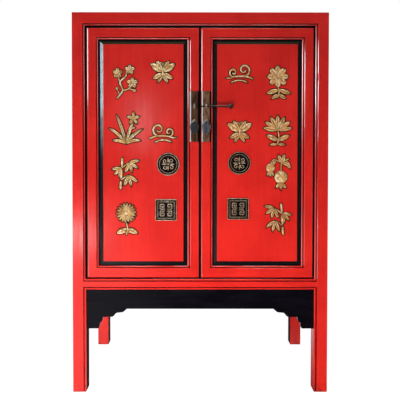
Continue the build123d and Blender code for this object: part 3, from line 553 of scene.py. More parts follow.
@dataclass(frozen=True)
class OldBrass:
    """Brass under a brown or a grey-black patina, rubbed bright at edges, with painted highlight and painted
    shade in given regions.
    """

    name: str
    patina: Colour
    warm: Colour
    bare: Colour = (0.55, 0.47, 0.33)
    metallic: float = 0.75
    smooth: float = 0.32
    # Painted highlight regions, laid in the bare colour.
    highlighted: tuple[Region, ...] = ()
    # Painted shade regions, laid in the dark shade colour.
    painted_shade: tuple[Region, ...] = ()
    soot_and_shade: Colour = (0.004, 0.003, 0.003)

    def material(self) -> bpy.types.Material:
        """Build the metal's material.

        Returns:
            The material.
        """
        graph = Graph(self.name)
        mottle = graph.fade(graph.noise(graph.stretched((1.0, 1.0, 0.5)), 70.0, 5.0, 0.6), 0.36, 0.66)
        rubbed = graph.times(graph.edges(0.8 * MM), graph.noise(graph.place(), 120.0, 3.0))
        rubbed = graph.union(rubbed, *map(graph.inside, self.highlighted))
        colour = graph.mix(rubbed, graph.mix(mottle, self.patina, self.warm), self.bare)
        # Painted shade in its regions.
        for region in self.painted_shade:
            colour = graph.mix(graph.inside(region), colour, self.soot_and_shade)
        return graph.feed({
            "Base Color": colour,
            "Metallic": self.metallic,
            "Roughness": graph.fade(mottle, 0.0, 1.0, self.smooth, self.smooth + 0.16),
            "Normal": graph.raised(graph.noise(graph.place(), 150.0, 4.0), 0.25 * MM, 0.5),
        })


@dataclass(frozen=True)
class StainedWood:
    """Bare softwood under a thin brown stain, with its growth rings showing."""

    name: str
    grain: Grain
    light: Colour = (0.16, 0.078, 0.038)
    dark: Colour = (0.055, 0.024, 0.012)

    def material(self) -> bpy.types.Material:
        """Build the wood's material.

        Returns:
            The material.
        """
        graph = Graph(self.name)
        along = graph.stretched(tuple(value * 0.5 for value in self.grain.value))
        fibres = graph.noise(along, 30.0, 5.0, 0.7)
        rings = graph.math("MULTIPLY", graph.noise(along, 4.0, 2.0), 40.0, held=False)
        bands = graph.math("SINE", rings, held=False)
        figure = graph.plus(graph.fade(bands, -1.0, 1.0, 0.0, 0.6), graph.times(fibres, 0.4))
        return graph.feed({
            "Base Color": graph.mix(figure, self.light, self.dark),
            "Roughness": graph.fade(fibres, 0.3, 0.7, 0.5, 0.72),
            "Specular IOR Level": 0.3,
            "Normal": graph.raised(figure, 0.3 * MM, 0.5),
        })


# ---- meshes -------------------------------------------------------------------------------
@dataclass
class Pad:
    """A shape seen from the front: a fan of rows across its length, for one domed piece of relief."""

    rows: list[tuple[Point2, Point2, float]]
    """Middle point, sideways direction and half width of each row."""
    crest: float
    """Height of the crest over the rim, where the piece is widest."""
    rib: float = 0.0
    """Depth of the groove along the middle."""


LEAF_TIP = 0.25
"""Half the width of a leaf's very ends. All sizes of motifs are in millimetres."""
LEAF_CREST, LEAF_CREST_MOST = 0.46, 6.0
"""A leaf's height, as a share of its width and at most."""
LEAF_RIB, LEAF_RIB_MOST = 0.26, 3.8
"""The depth of the groove along it, in the same way."""
DISC_TIP = 0.2
STEM_CREST = 0.55
STEM_BLUNT, STEM_END = 0.18, 0.02
"""How a stem's ends are rounded: how full they are, and how near the end the rounding stops."""
CURL_INWARD, CURL_TAPER = 0.78, 0.55
"""How far a spiral winds in, as a share of its radius, and how wide its inner end is."""


def round_points(count: int) -> list[Point2]:
    """Points spread evenly round a circle of radius 1."""
    return [(math.cos(math.tau * k / count), math.sin(math.tau * k / count)) for k in range(count)]


def bend_line(
    base: Point2, angle: float, length: float, bend: float, steps: int
) -> list[tuple[Point2, Point2]]:
    """Points and sideways directions along a line that turns evenly.

    Args:
        base: where the line starts.
        angle: its first direction, in degrees.
        length: its length.
        bend: how far it turns in all, in degrees.
        steps: how many pieces it is in.

    Returns:
        A point and a unit direction to its left, for each step.
    """
    x, y = base
    heading = math.radians(angle)
    turn = math.radians(bend) / steps
    line = []
    for _ in range(steps + 1):
        line.append(((x, y), (-math.sin(heading), math.cos(heading))))
        heading += turn
        x += length / steps * math.cos(heading)
        y += length / steps * math.sin(heading)
    return line


def leaf(
    x: float, y: float, angle: float, length: float, width: float, bend: float = 0.0, blunt: float = 0.75
) -> Pad:
    """A pointed leaf or petal with a groove along its middle.

    Args:
        x: its base, to the right.
        y: its base, upwards.
        angle: its direction, in degrees.
        length: its length.
        width: its greatest width.
        bend: how far it curls, in degrees.
        blunt: how full its ends are: 1 for pointed, less for round.

    Returns:
        The leaf's pad.
    """
    steps = 12
    rows = []
    for number, (point, side) in enumerate(bend_line((x, y), angle, length, bend, steps)):
        swell = max(math.sin(math.pi * number / steps), 0.0) ** blunt
        rows.append((point, side, max(width / 2 * swell, LEAF_TIP)))
    return Pad(rows, min(width * LEAF_CREST, LEAF_CREST_MOST), min(width * LEAF_RIB, LEAF_RIB_MOST))


def disc(x: float, y: float, radius: float, crest: float = 2.2) -> Pad:
    """A round dome.

    Args:
        x: its middle, to the right.
        y: its middle, upwards.
        radius: its radius.
        crest: its height over its rim.

    Returns:
        The dome's pad.
    """
    steps = 10
    rows = []
    for number in range(steps + 1):
        angle = math.pi * number / steps
        half = max(radius * math.sin(angle), DISC_TIP)
        rows.append(((x, y - radius * math.cos(angle)), (-1.0, 0.0), half))
    return Pad(rows, crest)


def stem(points: Sequence[Point2], start: float, end: float) -> Pad:
    """A tapered stem on a smooth line through a few points.

    Args:
        points: the points.
        start: its width at the first point.
        end: its width at the last.

    Returns:
        The stem's pad.
    """
    line = smooth_line(points, 5)
    rows = []
    for number, point in enumerate(line):
        before = line[max(number - 1, 0)]
        after = line[min(number + 1, len(line) - 1)]
        along = Vector((after[0] - before[0], after[1] - before[1])).normalized()
        share = number / (len(line) - 1)
        width = start + (end - start) * share
        rounding = math.sin(math.pi * min(max(share, STEM_END), 1 - STEM_END)) ** STEM_BLUNT
        rows.append((point, (-along.y, along.x), width / 2 * rounding))
    return Pad(rows, min(start, end) * STEM_CREST)


def smooth_line(points: Sequence[Point2], steps: int) -> list[Point2]:
    """A Catmull-Rom line through points.

    Args:
        points: the points.
        steps: how many pieces there are between two points.

    Returns:
        The line's points.
    """
    ends = [points[0], *points, points[-1]]
    line = []
    for number in range(len(points) - 1):
        a, b, c, d = (Vector(ends[number + k]) for k in range(4))
        slope, bow, twist = c - a, 2 * a - 5 * b + 4 * c - d, 3 * b - a - 3 * c + d
        for step in range(steps):
            t = step / steps
            line.append(tuple(0.5 * (2 * b + slope * t + bow * t**2 + twist * t**3)))
    return [*line, tuple(points[-1])]


def skin(mesh: bmesh.types.BMesh, rings: Iterable[Iterable[Triple]], endless: bool = False) -> None:
    """Cover rings of points, one after another, with a closed shell.

    Args:
        mesh: the mesh that it goes in.
        rings: the points of each ring, equally many in all.
        endless: whether the last ring joins the first, and neither has a lid.
    """
    made = [[mesh.verts.new(point) for point in ring] for ring in rings]
    if endless:
        made.append(made[0])
    else:
        mesh.faces.new(made[0][::-1])
        mesh.faces.new(made[-1])
    for first, second in zip(made, made[1:]):
        for k in range(len(first)):
            mesh.faces.new((first[k - 1], first[k], second[k], second[k - 1]))


def lathe(mesh: bmesh.types.BMesh, outline: Sequence[Point2], place: Matrix, turns: int = 32) -> None:
    """Turn an outline about a line and add it to a mesh.

    Args:
        mesh: the mesh.
        outline: radius and height of each point, from the first end to the last.
        place: where the line's foot and direction (local Z) go.
        turns: how many steps make a full turn.
    """
    circle = round_points(turns)
    skin(mesh, [[place @ Vector((r * x, r * y, height)) for x, y in circle] for r, height in outline])


@dataclass
class Relief:
    """Raised work on a flat ground that faces the front: crowned shapes, or their wider flat border."""

    mesh: bmesh.types.BMesh
    ground: float
    """Where the flat ground is, along Y."""
    mirror: int
    """1, or -1 to turn each motif about."""
    grow: float = 0.0
    """How much wider the border is than the shapes, all round, in millimetres; 0 for the shapes."""
    rim: float = 1.6 * MM
    border_height: float = 0.8 * MM
    narrow: float = 0.35
    """How high a pad's narrowest rows stand, next to its widest."""
    groove_sharpness: float = 4.2
    across: int = 8

    def add(self, pads: Iterable[Pad], centre: Point2) -> None:
        """Add the closed shell of each pad of a motif.

        Args:
            pads: the motif's shapes, in millimetres.
            centre: its middle on the ground, in metres.
        """
        for pad in pads:
            widest = max(half for _, _, half in pad.rows)
            beside_ends = {0: pad.rows[1][0], len(pad.rows) - 1: pad.rows[-2][0]}
            rings = []
            for number, (point, side, half) in enumerate(pad.rows):
                middle = Vector(point)
                if number in beside_ends:
                    middle += (middle - Vector(beside_ends[number])).normalized() * self.grow
                ring = []
                for share, height in self.section(pad, self.narrow + (1 - self.narrow) * half / widest):
                    x, y = middle + Vector(side) * share * (half + self.grow)
                    ring.append((centre[0] + self.mirror * x * MM, self.ground - height, centre[1] + y * MM))
                rings.append(ring)
            skin(self.mesh, rings)

    def section(self, pad: Pad, fullness: float) -> list[Point2]:
        """A pad's section across one row.

        Args:
            pad: the pad.
            fullness: how high it stands at this row, from 0 to 1.

        Returns:
            How far out each point is, from -1 to 1, and how high over the ground, in metres.
        """
        section = [(-1.0, 0.0)]
        for step in range(self.across + 1):
            share = 2 * step / self.across - 1
            dome = math.sqrt(max(1 - share * share, 0.0))
            groove = pad.rib * math.exp(-((share * self.groove_sharpness) ** 2))
            crowned = self.rim + (pad.crest * dome - groove) * fullness * MM
            section.append((share, self.border_height if self.grow else crowned))
        return [*section, (1.0, 0.0)]


def finish_mesh(mesh: bmesh.types.BMesh, name: str, smooth: bool = True) -> bpy.types.Object:
    """Turn built geometry into an object of the scene.

    Args:
        mesh: the geometry, which is used up.
        name: the object's name.
        smooth: whether its faces are shaded smooth up to sharp edges.

    Returns:
        The object.
    """
    bmesh.ops.remove_doubles(mesh, verts=mesh.verts, dist=1e-6)
    bmesh.ops.recalc_face_normals(mesh, faces=mesh.faces)
    data = bpy.data.meshes.new(name)
    mesh.to_mesh(data)
    mesh.free()
    if smooth:
        data.shade_smooth()
        data.set_sharp_from_angle(angle=math.radians(40))
    piece = bpy.data.objects.new(name, data)
    bpy.context.scene.collection.objects.link(piece)
    return piece


# ---- motifs -------------------------------------------------------------------------------
def fan(
    x: float, y: float, angles: Iterable[float], length: float, width: float, bend: float = 0.0
) -> list[Pad]:
    """Leaves or petals spread from one point."""
    return [leaf(x, y, angle, length, width, bend) for angle in angles]


def petals(x: float, y: float, count: int, length: float, width: float, start: float) -> list[Pad]:
    """A ring of round petals."""
    return [leaf(x, y, start + 360 * k / count, length, width, 0.0, 0.45) for k in range(count)]


def blossom(x: float, y: float, radius: float) -> list[Pad]:
    """A blossom of five round petals with a small heart."""
    return [*petals(x, y, 5, radius, radius * 0.72, 90), disc(x, y, radius * 0.2, 4.2)]


def curl(x: float, y: float, radius: float, start: float, turn: float, width: float) -> Pad:
    """A stroke that winds into a spiral.

    Args:
        x: the spiral's middle, to the right.
        y: the spiral's middle, upwards.
        radius: its outer radius.
        start: the angle where its outer end is, in degrees.
        turn: how far it winds, in degrees.
        width: the stroke's width at the outer end.

    Returns:
        The stroke's pad.
    """
    steps = 14
    points = []
    for number in range(steps + 1):
        share = number / steps
        angle = math.radians(start + turn * share)
        reach = radius * (1 - CURL_INWARD * share)
        points.append((x + reach * math.cos(angle), y + reach * math.sin(angle)))
    return stem(points, width, width * CURL_TAPER)


def plum() -> list[Pad]:
    """A crooked plum twig with three blossoms and two buds.

    Returns:
        The motif's pads.
    """
    pads = [stem([(-38, -66), (-14, -34), (-25, 0), (0, 28), (0, 64)], 8, 5)]
    pads += [stem([(-14, -34), (12, -26), (24, -6)], 6, 4), stem([(-25, 0), (-36, 30)], 6, 4)]
    pads += [stem([(12, -26), (34, -34)], 4, 3), stem([(-27, -52), (-37, -28)], 4, 3)]
    pads += blossom(26, -2, 23) + blossom(-35, 38, 21) + blossom(16, 52, 20)
    return [*pads, disc(35, -34, 6, 3), disc(-38, -26, 5.5, 3)]


def orchid() -> list[Pad]:
    """A tuft of long bending leaves with a flower and a bud.

    Returns:
        The motif's pads.
    """
    leaves = ((140, 60, 48), (120, 98, 32), (102, 128, 12), (80, 104, -16), (62, 94, -38), (42, 64, -54))
    pads = [leaf(0, -66, angle, length, 13, bend, 0.6) for angle, length, bend in leaves]
    pads += [stem([(2, -42), (16, -4), (30, 40)], 4, 3), *fan(30, 40, range(18, 378, 72), 28, 13)]
    return [*pads, disc(30, 40, 4, 4.5), *fan(18, 0, (5, 55), 20, 9)]


def bamboo() -> list[Pad]:
    """Two jointed canes with drooping sprays of leaves.

    Returns:
        The motif's pads.
    """
    joints = (((-24, -64), (-22, -32), 10), ((-21, -20), (-19, 16), 10), ((-18, 28), (-15, 65), 9))
    pads = [stem([low, high], width, width) for low, high, width in joints]
    pads += [stem([(-21, -26), (-4, -14), (8, -6)], 5, 3), stem([(-18, 24), (-2, 36), (12, 46)], 5, 3)]
    pads += fan(8, -6, (-104, -68, -30), 48, 14, -14) + fan(12, 46, (-104, -66, -26, 18), 44, 14, -14)
    return pads + fan(-19, 24, (250, 216, 182), 42, 13, 14)


def chrysanthemum() -> list[Pad]:
    """A many-petalled flower over two pairs of leaves.

    Returns:
        The motif's pads.
    """
    pads = fan(0, 26, range(0, 360, 20), 43, 11, 10) + fan(0, 26, range(10, 370, 36), 27, 9, 10)
    pads += [disc(0, 26, 8, 5.0), stem([(0, -14), (5, -40), (0, -66)], 6, 5)]
    return pads + fan(4, -40, (-24, 204), 48, 21) + fan(2, -56, (24, 156), 34, 14)


def lotus() -> list[Pad]:
    """An open lotus on its stem over two pairs of leaves.

    Returns:
        The motif's pads.
    """
    pads = fan(0, -8, (8, 172), 60, 19) + fan(0, -8, (34, 146), 62, 21) + fan(0, -8, (62, 118), 62, 22)
    pads += [leaf(0, -8, 90, 62, 22), stem([(0, -8), (-5, -38), (2, -66)], 6, 5)]
    return pads + fan(-2, -50, (24, 156), 52, 21) + fan(0, -66, (-4, 184), 34, 11)


def pomegranate() -> list[Pad]:
    """Two crowned fruits on a leafy twig.

    Returns:
        The motif's pads.
    """
    pads = [stem([(-46, 62), (-18, 46), (-14, 10)], 7, 5), stem([(-18, 46), (14, 58), (30, 42)], 6, 4)]
    pads += fan(-14, -34, (-50, -90, -130), 34, 13) + fan(30, 12, (-54, -90, -126), 25, 10)
    pads += [disc(-14, -14, 27, 4.6), disc(30, 24, 18, 4.0), *fan(-18, 46, (64, 108, 196), 36, 16)]
    return [*pads, leaf(6, 54, -44, 44, 15), leaf(-34, 56, -118, 40, 15)]


def peony() -> list[Pad]:
    """A full flower of three rings of petals over its leaves.

    Returns:
        The motif's pads.
    """
    pads = petals(0, 24, 8, 44, 27, 0) + petals(0, 24, 7, 33, 21, 20) + petals(0, 24, 5, 21, 15, 8)
    pads += [disc(0, 24, 6, 5.2), stem([(0, -14), (-5, -42), (2, -66)], 6, 5)]
    return pads + fan(-3, -30, (-18, 198), 52, 20) + fan(-3, -48, (-34, 214), 36, 15)


def butterfly() -> list[Pad]:
    """A butterfly with open wings and curled feelers.

    Returns:
        The motif's pads.
    """
    pads = fan(0, 4, (34, 146), 60, 27) + fan(0, 4, (60, 120), 52, 20)
    pads += fan(0, -2, (-28, 208), 46, 21) + fan(0, -4, (-60, 240), 42, 15)
    pads += [stem([(0, -22), (0, 24)], 8, 7)]
    return pads + [curl(12, 34, 12, 200, -230, 3.6), curl(-12, 34, 12, -20, 230, 3.6)]


def cloud() -> list[Pad]:
    """A cloud of two spirals on long wavy strands.

    Returns:
        The motif's pads.
    """
    pads = [curl(-18, 12, 26, -90, -440, 9), curl(26, 2, 18, -90, 430, 8)]
    pads += [stem([(-55, -25), (-34, -17), (-10, -14), (24, -16), (40, -22), (57, -20)], 8, 5)]
    return pads + [stem([(-32, -40), (-12, -32), (14, -32), (36, -40)], 6, 5)]


def rosette() -> list[Pad]:
    """Four fine scrolls and four small leaves round a dot, for the round plaque.

    Returns:
        The motif's pads.
    """
    pads = [disc(0, 0, 3.2, 3)]
    for number in range(4):
        angle = math.radians(45 + 90 * number)
        x, y = 19 * math.cos(angle), 19 * math.sin(angle)
        pads.append(curl(x, y, 9.5, 225 + 90 * number, 400, 3.0))
        pads.append(leaf(6 * math.cos(angle - 0.785), 6 * math.sin(angle - 0.785), 90 * number, 21, 5.0))
    return pads


def star() -> list[Pad]:
    """Four fine square scrolls with a small cross between them, for the square plaque.

    Returns:
        The motif's pads.
    """
    turns = ((4, 4), (24, 4), (24, 24), (8, 24), (8, 12), (17, 12), (17, 18))
    pads = []
    for right, up in ((1, 1), (-1, 1), (-1, -1), (1, -1)):
        corners = [(right * x, up * y) for x, y in turns]
        pads += [stem([first, second], 2.3, 2.3) for first, second in zip(corners, corners[1:])]
    return pads


@dataclass
class Plaque:
    """A small black plaque on the door's field, with gilt lines and a gilt ornament."""

    name: str
    centre: Point2
    half: float
    is_round: bool
    ground: float
    thickness: float = 5.0 * MM
    edge: float = 0.8 * MM
    corner: float = 1.5 * MM
    rim_width: float = 1.5 * MM
    line_inset: float = 9.0 * MM
    line_width: float = 1.1 * MM
    line_foot: float = 0.2 * MM
    gilt: float = 1.2 * MM
    ornament_rim: float = 0.6 * MM
    ornament_flatness: float = 0.5

    def outline(self, reach: float) -> list[Point2]:
        """A line of the plaque's shape round its middle.

        Args:
            reach: how far it is from the middle, to each side.

        Returns:
            The line's points, going round once.
        """
        if self.is_round:
            return [(reach * x, reach * z) for x, z in round_points(64)]
        points = []
        for corner in range(4):
            turn = math.tau * (corner + 0.5) / 4
            x, z = (math.copysign(reach - self.corner, part) for part in (math.cos(turn), math.sin(turn)))
            for step in range(5):
                angle = turn - math.pi / 4 + math.pi / 2 * step / 4
                points.append((x + self.corner * math.cos(angle), z + self.corner * math.sin(angle)))
        return points

    def rings(self, section: Iterable[Point2]) -> list[list[Triple]]:
        """Rings that follow the plaque's edge.

        Args:
            section: how far each is set in from the edge, and its height over the ground.

        Returns:
            The points of each ring.
        """
        rings = []
        for inset, height in section:
            flat = self.outline(self.half - inset)
            rings.append([(self.centre[0] + x, self.ground - height, self.centre[1] + z) for x, z in flat])
        return rings

    def board(self) -> bpy.types.Object:
        """The black board, with a softened rim."""
        mesh = bmesh.new()
        skin(mesh, self.rings(((0, 0), (0, self.thickness - self.edge), (self.edge, self.thickness))))
        return finish_mesh(mesh, self.name)

    def gilding(self, name: str, mirror: int) -> bpy.types.Object:
        """The gilt rim, inner line and ornament.

        Args:
            name: the object's name.
            mirror: 1, or -1 to turn the ornament about.

        Returns:
            The object.
        """
        mesh = bmesh.new()
        high = self.thickness + self.gilt
        rim, line = (0.0, self.rim_width, self.edge), (self.line_inset, self.line_width, self.line_foot)
        for start, width, foot in (rim, line):
            low, soft, end = self.thickness - foot, width * 0.25, start + width
            section = ((start, low), (start, high - soft), (start + soft, high))
            section += ((end - soft, high), (end, high - soft), (end, low))
            skin(mesh, self.rings(section), endless=True)
        relief = Relief(mesh, self.ground - self.thickness, mirror, rim=self.ornament_rim)
        pads = rosette() if self.is_round else star()
        relief.add([replace(pad, crest=pad.crest * self.ornament_flatness) for pad in pads], self.centre)
        return finish_mesh(mesh, name)


# ---- sub-assemblies -----------------------------------------------------------------------
@dataclass(frozen=True)
class Bead:
    """Where painted highlight lines run along a moulding: on its bead, and on the flat beside its groove."""

    upward: bool
    """Whether the edge faces up, and not left."""
    turn: float
    # How far the highlight lines are turned from the front, in degrees.
    """How far the rubbed lines face away from the front, in degrees."""
    width: float
    inset: float
    flat_inset: float = 10.9 * MM
    proud: float = 0.5 * MM
    depth: float = 4.5 * MM

    def lines(self, edge: float, front: float, low: float, high: float) -> tuple[HighlightLine, HighlightLine]:
        """The painted highlight lines of one moulding.

        Args:
            edge: where the wood's edge is, along X, or along Z if it faces up.
            front: where its face is, along Y.
            low: where the lines start, along the wood.
            high: where they end.

        Returns:
            The line on the bead and the one on the flat.
        """
        aside, forward = math.sin(math.radians(self.turn)), -math.cos(math.radians(self.turn))
        lines = []
        for inset in (self.inset, self.flat_inset):
            if self.upward:
                direction = (0.0, forward, aside)
                start, end = (low, edge - inset - self.width), (high, edge - inset)
            else:
                direction = (-aside, forward, 0.0)
                start, end = (edge + inset, low), (edge + inset + self.width, high)
            region = Region((start[0], front - self.proud, start[1]), (end[0], front + self.depth, end[1]))
            lines.append(HighlightLine(region, direction, not self.upward))
        return tuple(lines)


# Painted highlight lines along left-facing and upward-facing mouldings.
LEFT_BEAD = Bead(upward=False, turn=41.0, width=2.0 * MM, inset=0.8 * MM)
SILL_BEAD = Bead(upward=True, turn=47.0, width=0.9 * MM, inset=2.2 * MM)


class Side(Enum):
    """Left or right as seen from the front."""

    LEFT = "left"
    RIGHT = "right"

    @property
    def sign(self) -> int:
        """-1 on the left and 1 on the right."""
        return -1 if self is Side.LEFT else 1


def paint(piece: bpy.types.Object, material: bpy.types.Material) -> None:
    """Give a piece one finish all over."""
    piece.data.materials.clear()
    piece.data.materials.append(material)


def dress(
    nodes: Iterable[str], material: bpy.types.Material, soften: float = 0.0, least_angle: float = 50.0
) -> None:
    """Give pieces of the frame their finish, and soften their edges.

    Args:
        nodes: the pieces' names.
        material: the finish.
        soften: the width of the softened edges, in metres, or 0 to leave them.
        least_angle: the smallest turn between two faces that is softened, in degrees.
    """
    for node in nodes:
        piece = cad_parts[node]
        paint(piece, material)
        if soften:
            bevel = piece.modifiers.new("softened_edges", "BEVEL")
            bevel.width = soften
            bevel.segments = 2
            bevel.limit_method = "ANGLE"
            bevel.angle_limit = math.radians(least_angle)
            bevel.use_clamp_overlap = True
            bevel.harden_normals = False


def hold(piece: bpy.types.Object, body: str, material: bpy.types.Material, slot: str, *nodes: str) -> None:
    """Dress a made piece and let it ride.

    Args:
        piece: the piece.
        body: the body it moves with.
        material: its finish.
        slot: not used.
        nodes: the frame pieces that it stands for.
    """
    paint(piece, material)
    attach(piece, body)
    if nodes:
        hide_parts(*nodes)
    LOG.info("%s on %s: %d faces", piece.name, body, len(piece.data.polygons))


@dataclass
class CaseWork:
    """The carcass: posts, rails, panels, aprons and shelves."""

    soften: float = 0.8 * MM
    skin: float = 0.5 * MM
    lit_edge: float = 4.0 * MM
    # How far the painted shade of the door gap reaches onto the moulding.
    shade_lip: float = 3.0 * MM

    def inside(self) -> Region:
        """The cabinet's stained inside, behind the doors.

        Returns:
            The box of it.
        """
        door_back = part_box("door_left_hinge_stile")[1].y
        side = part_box("side_panel_right")[0].x + self.skin
        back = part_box("back_panel_left")[0].y + self.skin
        low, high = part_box("floor_panel")[1].z - self.skin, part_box("top_panel")[0].z + self.skin
        return Region((-side, door_back, low), (side, back, high))

    def door_gap_shade(self) -> Region:
        """Painted shade: black on the walls round the doors and on the inner side of the moulding that faces
        them.

        Returns:
            The box round them.
        """
        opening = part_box("post_front_right")[0].x
        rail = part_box("top_rail_front")[0]
        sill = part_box("bottom_rail_front")[1].z
        return Region(
            (-opening - self.shade_lip, rail.y - self.skin, sill - self.skin),
            (opening + self.skin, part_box("door_left_hinge_stile")[1].y, rail.z + self.shade_lip),
        )

    def leg_back_shade(self) -> tuple[Region, ...]:
        """Painted shade: black on the inner sides of the legs, but for the front right one, which the light
        reaches.

        Returns:
            A thin box for each leg wall.
        """
        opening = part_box("post_front_right")[0].x
        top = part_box("bottom_rail_front")[0].z
        front, behind = (corner.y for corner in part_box("post_front_left"))
        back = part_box("post_back_left")[1].y - self.lit_edge
        regions = []
        for wall, start in ((-opening, front + self.lit_edge), (opening, behind + self.skin)):
            regions.append(Region((wall - self.skin, start, 0.0), (wall + self.skin, back, top)))
        return tuple(regions)

    def build(self) -> None:
        """Dress every piece of the case."""
        bare = (self.inside(),)
        # Painted shade round the doors and inside the legs.
        unlit = (self.door_gap_shade(), *self.leg_back_shade())
        upright = RubbedLacquer("red_lacquer_upright", Grain.ALONG_Z, bare, unlit)
        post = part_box("post_front_right")[0]
        low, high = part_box("bottom_rail_front")[1].z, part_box("top_rail_front")[0].z
        # The right front post carries painted highlight lines along its bead.
        lined = replace(upright, name="red_lacquer_lined", lines=LEFT_BEAD.lines(post.x, post.y, low, high))
        level = replace(upright, name="red_lacquer_level", grain=Grain.ALONG_X).material()
        deep = RubbedLacquer("red_lacquer_deep", Grain.ALONG_Y, bare)
        board = replace(deep, name="red_lacquer_board", grain=Grain.ALONG_Z)
        wash = replace(
            board, name="dark_wash", bright=(0.055, 0.016, 0.011), deep=(0.030, 0.010, 0.008)
        ).material()
        wood = StainedWood("shelf_wood", Grain.ALONG_X).material()
        cleat = StainedWood("cleat_wood", Grain.ALONG_Y).material()
        sides, ends = ("left", "right"), ("top", "bottom")
        softened = (
            (upright.material(), [f"post_{corner}" for corner in ("front_left", "back_left", "back_right")]),
            (lined.material(), ["post_front_right"]),
            (level, [f"{end}_rail_{face}" for end in ends for face in ("front", "back")]),
            (deep.material(), [f"{end}_rail_{side}" for end in ends for side in sides]),
            (BlackLacquer().material(), [f"apron_{face}" for face in ("front", *sides)]),
            (wash, ["back_muntin"]),
            (wood, ["floor_panel", "shelf_lower", "shelf_upper"]),
            (cleat, [f"shelf_cleats_{side}" for side in sides]),
        )
        for material, nodes in softened:
            dress(nodes, material, self.soften)
        dress([f"side_panel_{side}" for side in sides], board.material())
        dress([f"back_panel_{side}" for side in sides], wash)
        dress(["top_panel"], level)
        LOG.info("case dressed")


@dataclass
class DoorWork:
    """What moves with one of the doors."""

    side: Side

    @property
    def body(self) -> str:
        """The door's body."""
        return f"door_{self.side.value}"


